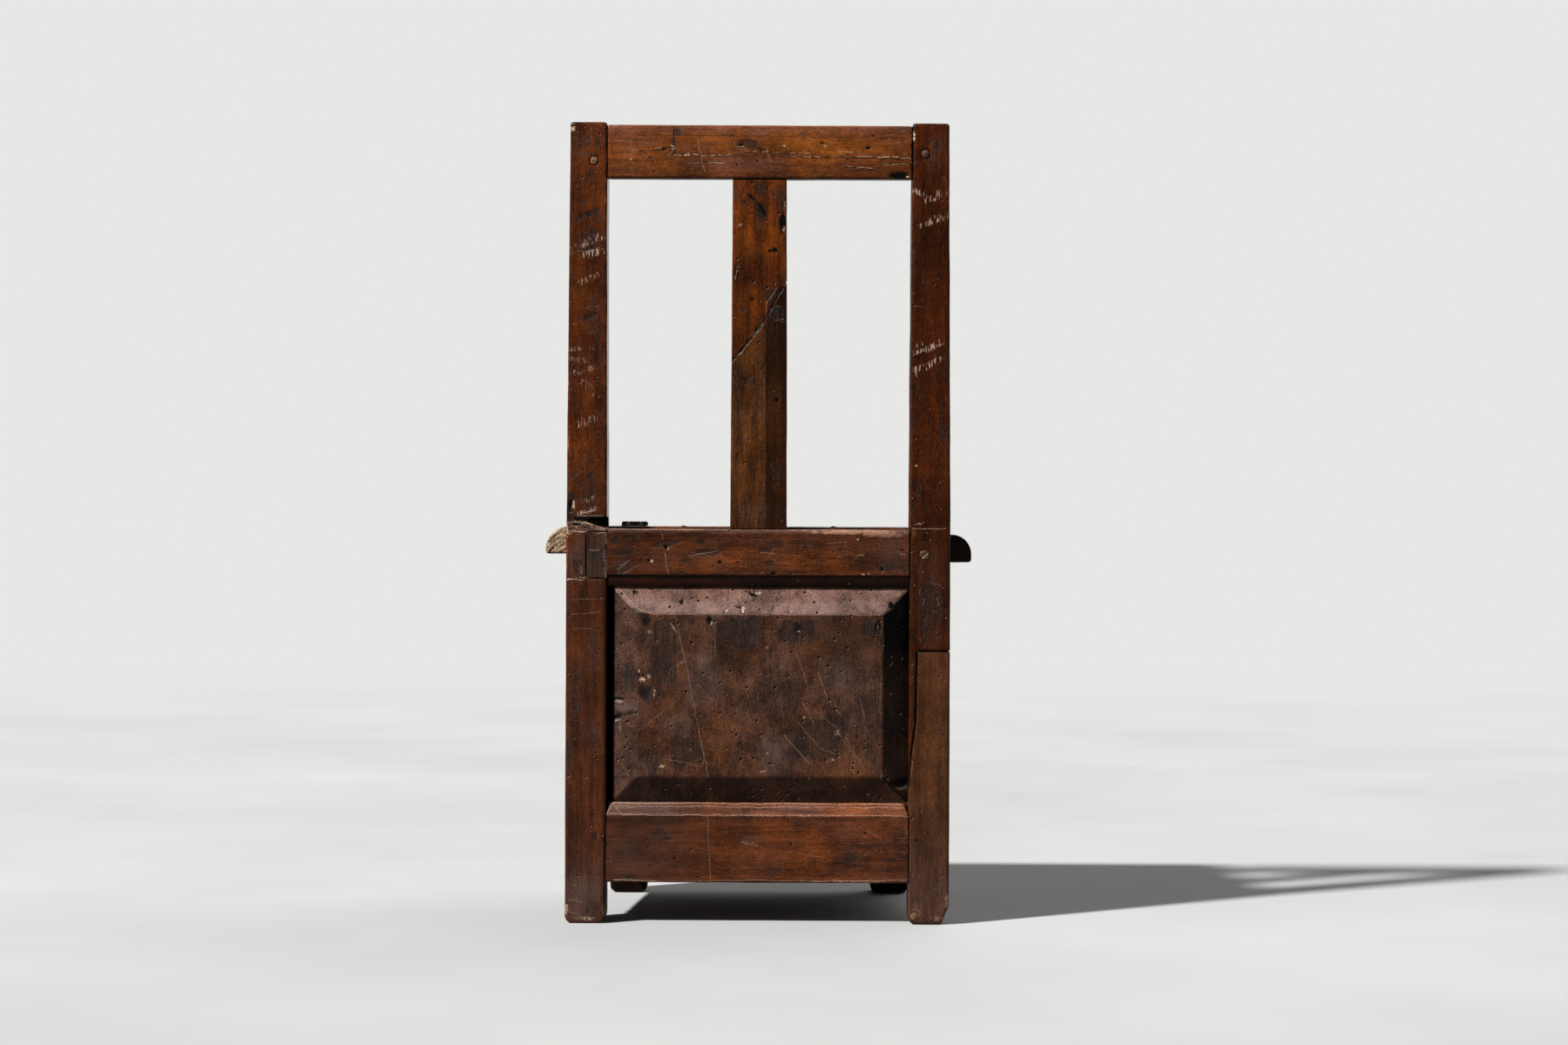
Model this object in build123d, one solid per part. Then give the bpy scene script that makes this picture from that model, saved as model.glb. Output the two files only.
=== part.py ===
from build123d import *
import os
from math import atan2, cos, degrees, radians, tan

# A joined box-seat chair of the wainscot kind: a panelled box with a hinged lid,
# and an open back with one splat.
# +Z is up and the sitter faces -Y.  Left and right are the sitter's, so left is +X.
# "Depth" is measured forward from the plane of the rear faces of the lower rear frame.

# ---------------------------------------------------------------------------
# Driving dimensions, in millimetres and degrees
# ---------------------------------------------------------------------------

# The whole chair
overall_height = 997.0          # floor to the tops of the rear stiles
seat_height = 496.0             # floor to the top of the seat boards
box_depth = 372.0               # rear plane to the front faces of the front legs
back_rake = 4.0                 # lean of the back above the seat, from plumb

# Rear stiles
rear_opening = 378.0            # clear width between the rear stiles
stile_width = 51.0
stile_depth = 52.0
stile_top_width = 45.5          # the outer face tapers in above the seat
foot_round = 9.0                # worn corners of the feet

# Front legs
front_opening = 302.0           # clear width between the front legs
leg_width = 50.0
leg_depth = 46.0

# Rails
foot_clearance = 51.5           # floor to the undersides of the bottom rails
bottom_rail_height = 100.0
rear_rail_thickness = 36.5
rear_seat_rail_height = 72.5
rear_rail_drop = 3.0            # top of the rear seat rail below the seat
box_rail_height = 60.0          # front and side seat rails
front_rail_thickness = 32.0
side_rail_thickness = 32.0
front_setback = 1.5             # front rails behind the faces of the front legs
side_setback_rear = 18.0        # side rails inside the outer faces of the stiles
side_setback_front = 4.0        # side rails inside the outer faces of the front legs
top_rail_height = 66.0
top_rail_thickness = 50.0
top_rail_drop = 3.6             # top of the top rail below the stile tops

# Edge moulding of the rails, next to the panels
mould_height = 15.0
mould_step = 2.2                # fillet between the flat and the ovolo
mould_depth = 9.5
mould_mitre = 6.5               # the rear bottom rail's moulding is mitred back at its ends

# Panels
groove_setback = 10.0           # face of the rail to the groove
groove_width = 8.0
groove_depth = 8.0
bevel_width = 32.0
field_proud = 5.0               # raised field of the rear panel beyond the rail's face
box_field_proud = 2.0           # the same on the front and side panels
panel_shrinkage = 7.5           # rear panel's gap to the left stile

# Splat
splat_width_low = 71.0
splat_width_high = 67.0
splat_thickness = 34.0
splat_recess = 1.8              # rear face in from the rear faces of the rails
splice_right_height = 805.0     # seam of the spliced lower part, from the right edge
splice_middle_height = 742.0
splice_left_height = 700.0

# Joints
tenon_thickness = 12.0
rear_tenon_setback = 11.0       # rear frame's tenons in from the rear face
rear_tenon_length = 30.0
front_tenon_length = 30.0
side_tenon_length = 20.0
tenon_shoulder = 9.0            # tenon inside the rail's plain edge
splat_tenon_length = 22.0
splat_tenon_width = 44.0
back_peg_radius = 5.2
frame_peg_radius = 4.6
peg_inset = 16.0                # shoulder to the centre of a peg in a rear or front tenon
side_peg_inset = 10.0
peg_proud = 0.6
left_peg_drop = 48.0            # tops of the stiles down to the left peg
right_peg_drop = 38.0
front_peg_length = 37.0

# Old damage and repairs
break_outer_inset = 3.0         # sound wood left outside the break in the left stile
break_top_rise = 11.0           # heights in the break, above the seat
break_point_rise = 8.0
break_middle_rise = 5.5
break_low_drop = 2.5            # its lowest edge, below the seat
break_middle_inset = 25.0
break_depth = 34.0
patch_width = 25.0
patch_drop = 7.0                # top of the patch below the seat
patch_height = 58.0
graft_top = 341.5
graft_strip_top = 10.0          # old wood left inside the graft, top, middle and near its end
graft_strip_middle = 8.5
graft_strip_low = 2.5
graft_middle_height = 252.0
graft_low_height = 208.0
graft_end_height = 172.0
graft_foot_width = 10.0         # long bevel on the right foot's outer corner
graft_foot_height = 23.0

# Screw through the right stile
screw_drop = 34.0               # the screw below the seat
screw_inset = 18.4              # inner face of the stile to the screw
screw_head_radius = 6.0
screw_head_height = 3.4
screw_head_proud = 0.5
screw_shank_radius = 2.7
screw_length = 42.0
screw_slot_width = 1.6
screw_slot_depth = 1.5
screw_slot_angle = 40.0

# Seat strip with its ears
seat_board_thickness = 35.0
strip_front = 80.0              # depth of the strip's front edge
ear_reach = 28.5                # ends of the ears beyond the stiles
ear_flat_left = 5.0             # upright part of the ends, under the quarter-rounds
ear_flat_right = 10.0
ear_drop_right = 8.5            # the right ear sits lower
ear_root_gap = 2.0              # ears begin just outside the side rails
ear_under_round = 4.0
ear_front_round = 16.0
ear_rear = 36.0                 # depth of the ears' rear faces

# Lid
lid_gap = 1.5                   # open joint between strip and lid
lid_overhang = 6.0              # lid in front of the front legs
lid_rear_half_width = 228.0
lid_front_half_width = 206.0
lid_joint_depth = 231.0         # joint between the lid's two boards
lid_nose = 10.0
lid_under_nose = 5.0
lid_edge_round = 4.0
hinge_relief = 1.5              # eased arrises under the hinge barrels
batten_width = 40.0
batten_thickness = 18.0
batten_centre = 105.0
batten_rear_gap = 15.5          # rear edge of the lid to the battens
batten_front_gap = 11.5         # battens to the front seat rail

# Hinges
hinge_width = 32.0
hinge_left_inset = 15.0         # left stile's inner face to the left hinge
hinge_right_outset = 3.5        # the right hinge lies in front of the right stile
leaf_length = 24.0
leaf_thickness = 1.8
knuckle_radius = 3.2
knuckle_end_width = 8.5
knuckle_gap = 0.3
leaf_back_gap = 0.5
pin_radius = 1.6
pin_overlength = 1.6

# Floor of the box
floor_board_thickness = 16.0
ledger_height = 20.0
ledger_width = 18.0
floor_ledger_base = 64.0
strip_ledger_width = 15.0
ledger_end_gap = 3.0

# Nails
nail_radius = 1.8
nail_head_radius = 4.4
nail_head_height = 1.6
leaf_nail_head_radius = 3.4
leaf_nail_length = 22.0
strip_nail_length = 46.0
ledger_nail_length = 34.0
floor_nail_length = 30.0
lid_nail_length = 47.0
nail_spread = 94.5              # middle nail to the outer ones, in the strip and the ledgers
ledger_nail_stagger = 20.0      # the strip ledger's nails stand clear of the strip's
floor_nail_inset = 38.0         # from the board joint, and from the front legs
lid_nail_inset = 35.0           # from the ends of the battens, and behind the lid's joint
leaf_nail_inset = 8.0           # from the sides of a hinge leaf
leaf_nail_reach = 16.0          # from the hinge's axis

# Clearances
joint_clearance = 0.15          # between a tenon and its mortise
panel_fit = 0.2                 # between a panel's tongue and the sides of its groove
panel_margin = 1.0              # room at the bottom of a groove
peg_clearance = 0.05
pin_clearance = 0.06
notch_clearance = 0.3           # strip round the stiles
board_gap = 1.0                 # floor boards to what stands round them
board_joint = 0.5
arris = 1.5                     # eased edges of posts and boards

# ---------------------------------------------------------------------------
# Places worked out from the dimensions
# ---------------------------------------------------------------------------

rake_slope = tan(radians(back_rake))
top_lean = (overall_height - seat_height) * rake_slope
lid_front = box_depth + lid_overhang
rear_plane_y = (lid_front - top_lean) / 2

stile_inner = rear_opening / 2
stile_outer = stile_inner + stile_width
left_peg_height = overall_height - left_peg_drop
right_peg_height = overall_height - right_peg_drop
screw_x = -stile_inner - screw_inset
screw_height = seat_height - screw_drop
patch_top = seat_height - patch_drop
patch_low = patch_top - patch_height
leg_inner = front_opening / 2
leg_outer = leg_inner + leg_width
leg_rear = box_depth - leg_depth

bottom_rail_top = foot_clearance + bottom_rail_height
rail_top = seat_height - seat_board_thickness
box_rail_low = rail_top - box_rail_height
rear_seat_rail_top = seat_height - rear_rail_drop
rear_seat_rail_low = rear_seat_rail_top - rear_seat_rail_height
front_face = box_depth - front_setback
front_inner_face = front_face - front_rail_thickness

side_rear_x = stile_outer - side_setback_rear
side_front_x = leg_outer - side_setback_front
side_run = leg_rear - stile_depth
side_slant = degrees(atan2(side_rear_x - side_front_x, side_run))
side_width = side_rail_thickness / cos(radians(side_slant))
ear_start = side_rear_x + ear_root_gap
ear_end = stile_outer + ear_reach

hinge_depth = strip_front + lid_gap / 2
hinge_height = seat_height + knuckle_radius
lid_rear = strip_front + lid_gap
batten_rear = lid_rear + batten_rear_gap
batten_front = front_inner_face - batten_front_gap
batten_bevel = batten_thickness / 4
hinge_left_low = stile_inner - hinge_left_inset - hinge_width
hinge_right_low = -stile_inner - hinge_right_outset - hinge_width
floor_board_base = floor_ledger_base + ledger_height
reach = 2 * overall_height      # longer than anything in the chair


def y_at(depth):
    """Row y of a plane that lies this far in front of the rear plane."""
    return rear_plane_y - depth


def side_outer_x(depth):
    """Outer face of the left side rails at this depth."""
    return side_rear_x - (depth - stile_depth) * (side_rear_x - side_front_x) / side_run


# ---------------------------------------------------------------------------
# Shapes that many pieces share
# ---------------------------------------------------------------------------

def block(x_range, depth_range, z_range):
    """Square block between two widths, two depths and two heights."""
    x_low, x_high = sorted(x_range)
    depth_low, depth_high = sorted(depth_range)
    z_low, z_high = sorted(z_range)
    centre = Pos((x_low + x_high) / 2, y_at((depth_low + depth_high) / 2), (z_low + z_high) / 2)
    return centre * Box(x_high - x_low, depth_high - depth_low, z_high - z_low)


def front_prism(points, depth_range):
    """Outline in width and height, carried through a range of depths."""
    depth_low, depth_high = sorted(depth_range)
    plane = Plane(origin=(0, y_at(depth_low), 0), x_dir=(1, 0, 0), z_dir=(0, -1, 0))
    return extrude(plane * Polygon(*points, align=None), depth_high - depth_low, dir=(0, -1, 0))


def side_prism(points, x_range):
    """Outline in depth and height, carried through a range of widths."""
    x_low, x_high = sorted(x_range)
    plane = Plane(origin=(x_high, rear_plane_y, 0), x_dir=(0, -1, 0), z_dir=(-1, 0, 0))
    return extrude(plane * Polygon(*points, align=None), x_high - x_low, dir=(-1, 0, 0))


def plan_prism(points, z_range):
    """Outline in width and depth, carried through a range of heights."""
    z_low, z_high = sorted(z_range)
    plane = Plane(origin=(0, rear_plane_y, z_high), x_dir=(1, 0, 0), z_dir=(0, 0, -1))
    return extrude(plane * Polygon(*points, align=None), z_high - z_low, dir=(0, 0, -1))


def rod(x, depth, z, direction, length, radius):
    """Round bar that starts at a point and runs along a row direction."""
    start = Plane(origin=(x, y_at(depth), z), z_dir=direction)
    return start * Cylinder(radius, length, align=(Align.CENTER, Align.CENTER, Align.MIN))


def raked(shape):
    """Lean a shape that was drawn plumb back with the upper part of the back."""
    return shape.rotate(Axis((0, rear_plane_y, seat_height), (1, 0, 0)), -back_rake)


def along_rake(height):
    """Height before raking of a point on the rear face that ends at this height."""
    return seat_height + (height - seat_height) / cos(radians(back_rake))


def mirrored(shape):
    """The same shape on the chair's other side."""
    return shape.mirror(Plane.YZ)


def joined(pieces):
    """Several separate solids kept as one node."""
    return Compound(children=list(pieces))


def cut_all(piece, cutters):
    """A piece with every cutter taken out of it."""
    for cutter in cutters:
        piece = piece - cutter
    return piece


# ---------------------------------------------------------------------------
# Rails and panels, drawn with their outer face on y = 0 and +Y pointing out
# ---------------------------------------------------------------------------

rear_place = Location((0, y_at(0), 0))
front_place = Location((0, y_at(front_face), 0), (0, 0, 180))
side_place = Location(
    ((side_rear_x + side_front_x) / 2, y_at((stile_depth + leg_rear) / 2), 0),
    (0, 0, -90 - side_slant),
)


def face_block(x_range, y_range, z_range):
    """Block in a face's own frame."""
    x_low, x_high = sorted(x_range)
    y_low, y_high = sorted(y_range)
    z_low, z_high = sorted(z_range)
    centre = Pos((x_low + x_high) / 2, (y_low + y_high) / 2, (z_low + z_high) / 2)
    return centre * Box(x_high - x_low, y_high - y_low, z_high - z_low)


def mould_cutter(half_length, edge, up):
    """What the moulding plane takes off: a step and an ovolo, up or down from the panel's edge."""
    flat = edge + up * mould_height
    waste = Pos(-mould_depth / 2, (edge + flat) / 2) * Rectangle(mould_depth, mould_height)
    ovolo = Pos(-mould_depth, flat) * Ellipse(mould_depth - mould_step, mould_height)
    plane = Plane(origin=(-half_length, 0, 0), x_dir=(0, 1, 0), z_dir=(1, 0, 0))
    return extrude(plane * (waste - ovolo), 2 * half_length)


def groove_block(half_length, edge, up):
    """Groove for a panel's tongue in the edge of a rail."""
    depths = (-groove_setback - groove_width, -groove_setback)
    return face_block((-half_length, half_length), depths, (edge, edge + up * groove_depth))


def moulded_rail(half_length, thickness, low, high, panel_above):
    """Rail whose edge next to the panel is moulded and grooved."""
    edge = high if panel_above else low
    up = -1 if panel_above else 1
    rail = face_block((-half_length, half_length), (-thickness, 0), (low, high))
    rail = rail - mould_cutter(half_length, edge, up)
    return rail - groove_block(half_length, edge, up)


def mitre_cutter(half_length, edge):
    """Small mitres that end the moulding on a rail's upper edge."""
    left = [(half_length, edge), (half_length - mould_mitre, edge), (half_length, edge - mould_height)]
    plane = Plane(origin=(0, 0, 0), x_dir=(1, 0, 0), z_dir=(0, -1, 0))
    wedge = extrude(plane * Polygon(*left, align=None), mould_depth, dir=(0, -1, 0))
    return wedge + wedge.mirror(Plane.YZ)


def raised_panel(sight_x, tongue_x, low, high, proud):
    """Panel with a tongue all round and a raised field behind four bevels."""
    tongue_face = -groove_setback - panel_fit
    tongue_back = -groove_setback - groove_width + panel_fit
    overlap = groove_depth - panel_margin
    tongue = face_block(tongue_x, (tongue_back, tongue_face), (low - overlap, high + overlap))
    base = Rectangle(sight_x[1] - sight_x[0], high - low)
    field = Rectangle(sight_x[1] - sight_x[0] - 2 * bevel_width, high - low - 2 * bevel_width)
    middle_x = (sight_x[0] + sight_x[1]) / 2
    middle_z = (low + high) / 2
    base_plane = Plane(origin=(middle_x, tongue_face, middle_z), x_dir=(1, 0, 0), z_dir=(0, -1, 0))
    field_plane = Plane(origin=(middle_x, proud, middle_z), x_dir=(1, 0, 0), z_dir=(0, -1, 0))
    raised = loft([(base_plane * base).face(), (field_plane * field).face()], ruled=True)
    return tongue + raised


# ---------------------------------------------------------------------------
# Tenons, each drawn once and grown by a clearance to cut its mortise
# ---------------------------------------------------------------------------

def rear_tenon(low, high, grow=0.0):
    """Left end tenon of a rail in the lower rear frame."""
    depths = (rear_tenon_setback - grow, rear_tenon_setback + tenon_thickness + grow)
    widths = (stile_inner, stile_inner + rear_tenon_length + grow)
    return block(widths, depths, (low - grow, high + grow))


def top_tenon(grow=0.0):
    """Left end tenon of the top rail, before raking."""
    low = along_rake(overall_height - top_rail_drop - top_rail_height) + tenon_shoulder
    high = along_rake(overall_height - top_rail_drop) - tenon_shoulder
    middle = top_rail_thickness / 2
    depths = (middle - tenon_thickness / 2 - grow, middle + tenon_thickness / 2 + grow)
    return block((stile_inner, stile_inner + rear_tenon_length + grow), depths, (low - grow, high + grow))


def front_tenon(low, high, grow=0.0):
    """Left end tenon of a front rail."""
    middle = (front_face + front_inner_face) / 2
    depths = (middle - tenon_thickness / 2 - grow, middle + tenon_thickness / 2 + grow)
    return block((leg_inner, leg_inner + front_tenon_length + grow), depths, (low - grow, high + grow))


def side_tenon(at_rear, low, high, grow=0.0):
    """Tenon of a left side rail, square to the post that it enters."""
    shoulder = stile_depth if at_rear else leg_rear
    end = shoulder - side_tenon_length - grow if at_rear else shoulder + side_tenon_length + grow
    middle = (side_rear_x if at_rear else side_front_x) - side_width / 2
    widths = (middle - tenon_thickness / 2 - grow, middle + tenon_thickness / 2 + grow)
    return block(widths, (shoulder, end), (low - grow, high + grow))


def splat_foot_tenon(grow=0.0):
    """Tenon at the foot of the splat, down into the rear seat rail."""
    middle = splat_recess + splat_thickness / 2
    depths = (middle - tenon_thickness / 2 - grow, middle + tenon_thickness / 2 + grow)
    half = splat_tenon_width / 2 + grow
    low = rear_seat_rail_top - splat_tenon_length - grow
    return block((-half, half), depths, (low, rear_seat_rail_top))


def splat_head_tenon(grow=0.0):
    """Tenon at the head of the splat, up into the top rail, before raking."""
    middle = splat_recess + splat_thickness / 2
    depths = (middle - tenon_thickness / 2 - grow, middle + tenon_thickness / 2 + grow)
    half = splat_tenon_width / 2 + grow
    low = along_rake(overall_height - top_rail_drop - top_rail_height)
    return block((-half, half), depths, (low, low + splat_tenon_length + grow))


lower_tenon_span = (foot_clearance + tenon_shoulder, bottom_rail_top - mould_height)
rear_seat_tenon_span = (rear_seat_rail_low + mould_height, rear_seat_rail_top - tenon_shoulder)
box_seat_tenon_span = (box_rail_low + mould_height, rail_top - tenon_shoulder)

# ---------------------------------------------------------------------------
# Pegs, nails and the screw
# ---------------------------------------------------------------------------

into_front = (0, -1, 0)
into_back = (0, 1, 0)
inward_left = (-1, 0, 0)
downward = (0, 0, -1)
upward = (0, 0, 1)


def back_peg(side, height, grow=0.0):
    """Peg through a stile and the top rail's tenon, square to the raked back."""
    x = side * (stile_inner + peg_inset)
    length = stile_depth + peg_proud
    return raked(rod(x, -peg_proud, along_rake(height), into_front, length, back_peg_radius + grow))


def tenon_peg_heights():
    """Two pegs in each bottom-rail joint and one in each seat-rail joint of the box."""
    low, high = lower_tenon_span
    seat_low, seat_high = box_seat_tenon_span
    quarter = (high - low) / 4
    return (low + quarter, high - quarter, (seat_low + seat_high) / 2)


def front_peg_set(grow=0.0):
    """Pegs in the left front leg, driven from the front."""
    x = leg_inner + peg_inset
    start = box_depth + peg_proud
    radius = frame_peg_radius + grow
    return [rod(x, start, z, into_back, front_peg_length, radius) for z in tenon_peg_heights()]


def side_peg_set(at_rear, grow=0.0):
    """Pegs through the side tenons, driven from outside into the left stile or the left front leg."""
    depth = stile_depth - side_peg_inset if at_rear else leg_rear + side_peg_inset
    face = stile_outer if at_rear else leg_outer
    tenon_inner = (side_rear_x if at_rear else side_front_x) - side_width / 2 - tenon_thickness / 2
    length = face + peg_proud - tenon_inner + peg_clearance
    radius = frame_peg_radius + grow
    return [rod(face + peg_proud, depth, z, inward_left, length, radius) for z in tenon_peg_heights()]


def nail(spot, head_radius=nail_head_radius):
    """Forged nail: a low round head on a shank, from (x, depth, z), direction and length."""
    (x, depth, z), direction, length = spot
    shank = rod(x, depth, z, direction, length, nail_radius)
    back = tuple(-value for value in direction)
    head = rod(x, depth, z, back, nail_head_height, head_radius)
    return shank + fillet(head.edges().group_by(Axis(head.center(), back))[-1], nail_head_height / 2)


def nail_hole(spot):
    """Hole that a nail's shank leaves."""
    (x, depth, z), direction, length = spot
    return rod(x, depth, z, direction, length + peg_clearance, nail_radius + peg_clearance)


def screw_shape(grow=0.0):
    """Countersunk screw through the right stile and the rear seat rail's tenon."""
    length = screw_length + grow
    shank = rod(screw_x, 0, screw_height, into_front, length, screw_shank_radius + grow)
    head_plane = Plane(origin=(screw_x, y_at(screw_head_height), screw_height), z_dir=into_back)
    cone = Cone(
        screw_shank_radius + grow,
        screw_head_radius + grow,
        screw_head_height,
        align=(Align.CENTER, Align.CENTER, Align.MIN),
    )
    return shank + head_plane * cone


def stile_screw():
    """The screw with its slotted head."""
    crown = rod(screw_x, 0, screw_height, into_back, screw_head_proud, screw_head_radius)
    slot = block(
        (screw_x - screw_head_radius, screw_x + screw_head_radius),
        (-screw_head_proud, screw_slot_depth - screw_head_proud),
        (screw_height - screw_slot_width / 2, screw_height + screw_slot_width / 2),
    )
    turned = slot.rotate(Axis((screw_x, 0, screw_height), (0, 1, 0)), screw_slot_angle)
    return screw_shape() + crown - turned


# Nail places: (x, depth, z), direction and length
nail_row = (-nail_spread, 0, nail_spread)


def strip_nail_spots():
    """Down through the strip into its ledger."""
    depth = rear_rail_thickness + strip_ledger_width / 2
    return [((x, depth, seat_height), downward, strip_nail_length) for x in nail_row]


def ledger_nail_spots():
    """Through the strip's ledger and the two floor ledgers into the rails behind them."""
    strip_start = rear_rail_thickness + strip_ledger_width
    strip_z = rail_top - ledger_height / 2
    rear_start = rear_rail_thickness + ledger_width
    front_start = front_inner_face - ledger_width
    floor_z = floor_ledger_base + ledger_height / 2
    spots = []
    for x in nail_row:
        strip_point = (x + ledger_nail_stagger, strip_start, strip_z)
        spots.append((strip_point, into_back, ledger_nail_length))
        spots.append(((x, rear_start, floor_z), into_back, ledger_nail_length))
        spots.append(((x, front_start, floor_z), into_front, ledger_nail_length))
    return spots


def floor_nail_spots():
    """Down through the floor boards into both floor ledgers."""
    depths = (rear_rail_thickness + ledger_width / 2, front_inner_face - ledger_width / 2)
    top = floor_board_base + floor_board_thickness
    right = (floor_nail_inset - leg_inner, -floor_nail_inset)
    left = (floor_nail_inset, leg_inner - floor_nail_inset)
    return [((x, depth, top), downward, floor_nail_length) for x in right + left for depth in depths]


def lid_nail_spots():
    """Down through the lid's boards into its battens, with their heads sunk flush."""
    depths = (batten_rear + lid_nail_inset, lid_joint_depth - lid_nail_inset, batten_front - lid_nail_inset)
    centres = (-batten_centre, batten_centre)
    top = seat_height - nail_head_height
    return [((x, depth, top), downward, lid_nail_length) for x in centres for depth in depths]


def sunk_heads():
    """Recesses for the heads of the lid's nails."""
    radius = nail_head_radius + peg_clearance
    return [rod(*point, upward, 2 * nail_head_height, radius) for point, _, _ in lid_nail_spots()]


def leaf_nail_spots(x_low, moving):
    """Two nails in a hinge leaf."""
    depth = hinge_depth + (leaf_nail_reach if moving else -leaf_nail_reach)
    top = seat_height + leaf_thickness
    places = (x_low + leaf_nail_inset, x_low + hinge_width - leaf_nail_inset)
    return [((x, depth, top), downward, leaf_nail_length) for x in places]


def hinge_nail_spots(moving):
    """The nails of both hinges in the lid, or in the fixed strip."""
    return leaf_nail_spots(hinge_left_low, moving) + leaf_nail_spots(hinge_right_low, moving)


def nailed(piece, spots):
    """A piece with the holes of these nails."""
    return cut_all(piece, [nail_hole(spot) for spot in spots])


# ---------------------------------------------------------------------------
# Rear frame
# ---------------------------------------------------------------------------

def stile_blank():
    """Left rear stile before its joints are cut: plumb below the seat, raked above it."""
    front_bend = seat_height + stile_depth * tan(radians(back_rake / 2))
    top_front = stile_depth - (overall_height - front_bend) * rake_slope
    side_outline = [
        (0, 0),
        (stile_depth, 0),
        (stile_depth, front_bend),
        (top_front, overall_height),
        (-top_lean, overall_height),
        (0, seat_height),
    ]
    front_outline = [
        (stile_inner, 0),
        (stile_outer, 0),
        (stile_outer, seat_height),
        (stile_inner + stile_top_width, overall_height),
        (stile_inner, overall_height),
    ]
    blank = side_prism(side_outline, (stile_inner, stile_outer))
    blank = blank & front_prism(front_outline, (-reach, reach))
    return chamfer(blank.edges().group_by(Axis.Z)[-1], arris)


def side_groove():
    """Grooves for the left side panel, one run from the stile into the front leg."""
    depths = (stile_depth - groove_depth, leg_rear + groove_depth)
    slab = face_block(
        (-reach, reach),
        (-groove_setback - groove_width, -groove_setback),
        (bottom_rail_top - groove_depth, box_rail_low + groove_depth),
    )
    return (side_place * slab) & block((0, reach), depths, (0, reach))


def stile_joints():
    """Every mortise, groove and side-peg hole in the left rear stile."""
    groove = block(
        (stile_inner, stile_inner + groove_depth),
        (groove_setback, groove_setback + groove_width),
        (bottom_rail_top - groove_depth, rear_seat_rail_low + groove_depth),
    )
    return [
        raked(top_tenon(joint_clearance)),
        rear_tenon(*rear_seat_tenon_span, joint_clearance),
        rear_tenon(*lower_tenon_span, joint_clearance),
        side_tenon(True, *box_seat_tenon_span, joint_clearance),
        side_tenon(True, *lower_tenon_span, joint_clearance),
        groove,
        side_groove(),
        *side_peg_set(True, peg_clearance),
    ]


def rounded_foot(post, x_low, x_high):
    """Post whose foot has lost its corners, left and right."""
    outline = Pos((x_low + x_high) / 2, reach / 2) * Rectangle(x_high - x_low, reach)
    outline = fillet(outline.vertices().group_by(Axis.Y)[0], foot_round)
    plane = Plane(origin=(0, y_at(-reach), 0), x_dir=(1, 0, 0), z_dir=(0, -1, 0))
    return post & extrude(plane * outline, 2 * reach, dir=(0, -1, 0))


def patch_block(rear=0.0, grow=0.0):
    """Block let into the rear cheek of the left stile's seat-rail mortise."""
    widths = (stile_inner, stile_inner + patch_width + grow)
    depths = (rear, rear_tenon_setback - 2 * joint_clearance + grow)
    return block(widths, depths, (patch_low - grow, patch_top + grow))


def rear_stile_left():
    """Left stile with the open break across its rear at seat level."""
    stile = cut_all(stile_blank(), stile_joints())
    stile = rounded_foot(stile, stile_inner, stile_outer)
    stile = stile - back_peg(1, left_peg_height, peg_clearance)
    wedge = [
        (stile_outer - break_outer_inset, seat_height + break_point_rise),
        (stile_inner, seat_height + break_top_rise),
        (stile_inner, seat_height - break_low_drop),
        (stile_inner + break_middle_inset, seat_height + break_middle_rise),
    ]
    stile = stile - front_prism(wedge, (-stile_depth, break_depth))
    return stile - patch_block(-stile_depth, joint_clearance)


def graft_region():
    """Space that the graft fills in the right stile, under a stepped and slanting seam."""
    seam = [
        (-stile_inner, -reach),
        (-stile_inner, graft_end_height),
        (-stile_inner - graft_strip_low, graft_low_height),
        (-stile_inner - graft_strip_middle, graft_middle_height),
        (-stile_inner - graft_strip_top, graft_top),
        (-reach, graft_top),
        (-reach, -reach),
    ]
    return front_prism(seam, (-reach, reach))


def right_stile_whole():
    """Right stile with all its joints, before it is parted at the graft."""
    stile = mirrored(cut_all(stile_blank(), stile_joints()))
    stile = stile - back_peg(-1, right_peg_height, peg_clearance)
    return stile - screw_shape(peg_clearance)


def rear_stile_right():
    """Old upper part of the right stile."""
    return right_stile_whole() - graft_region()


def rear_stile_right_graft():
    """Newer lower part of the right stile, with a long bevel on its foot."""
    graft = right_stile_whole() & graft_region()
    graft = rounded_foot(graft, -stile_outer, -stile_inner)
    bevel = [
        (-stile_outer, 0),
        (-stile_outer + graft_foot_width, 0),
        (-stile_outer, graft_foot_height),
    ]
    return graft - front_prism(bevel, (-reach, reach))


def top_rail():
    """Top rail, tenoned into both stiles and mortised for the splat."""
    low = along_rake(overall_height - top_rail_drop - top_rail_height)
    high = along_rake(overall_height - top_rail_drop)
    rail = block((-stile_inner, stile_inner), (0, top_rail_thickness), (low, high))
    rail = chamfer(rail.edges().filter_by(Axis.X), arris)
    rail = rail + top_tenon() + mirrored(top_tenon())
    rail = raked(rail - splat_head_tenon(joint_clearance))
    rail = rail - back_peg(1, left_peg_height, peg_clearance)
    return rail - back_peg(-1, right_peg_height, peg_clearance)


def splat_whole():
    """Splat between the rear seat rail and the top rail."""
    low = along_rake(rear_seat_rail_top) - splat_recess
    high = along_rake(overall_height - top_rail_drop - top_rail_height)
    outline = [
        (-splat_width_low / 2, low),
        (splat_width_low / 2, low),
        (splat_width_high / 2, high),
        (-splat_width_high / 2, high),
    ]
    body = front_prism(outline, (splat_recess, splat_recess + splat_thickness))
    body = raked(body + splat_head_tenon())
    body = body - block((-reach, reach), (-reach, reach), (-reach, rear_seat_rail_top))
    return body + splat_foot_tenon()


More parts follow.
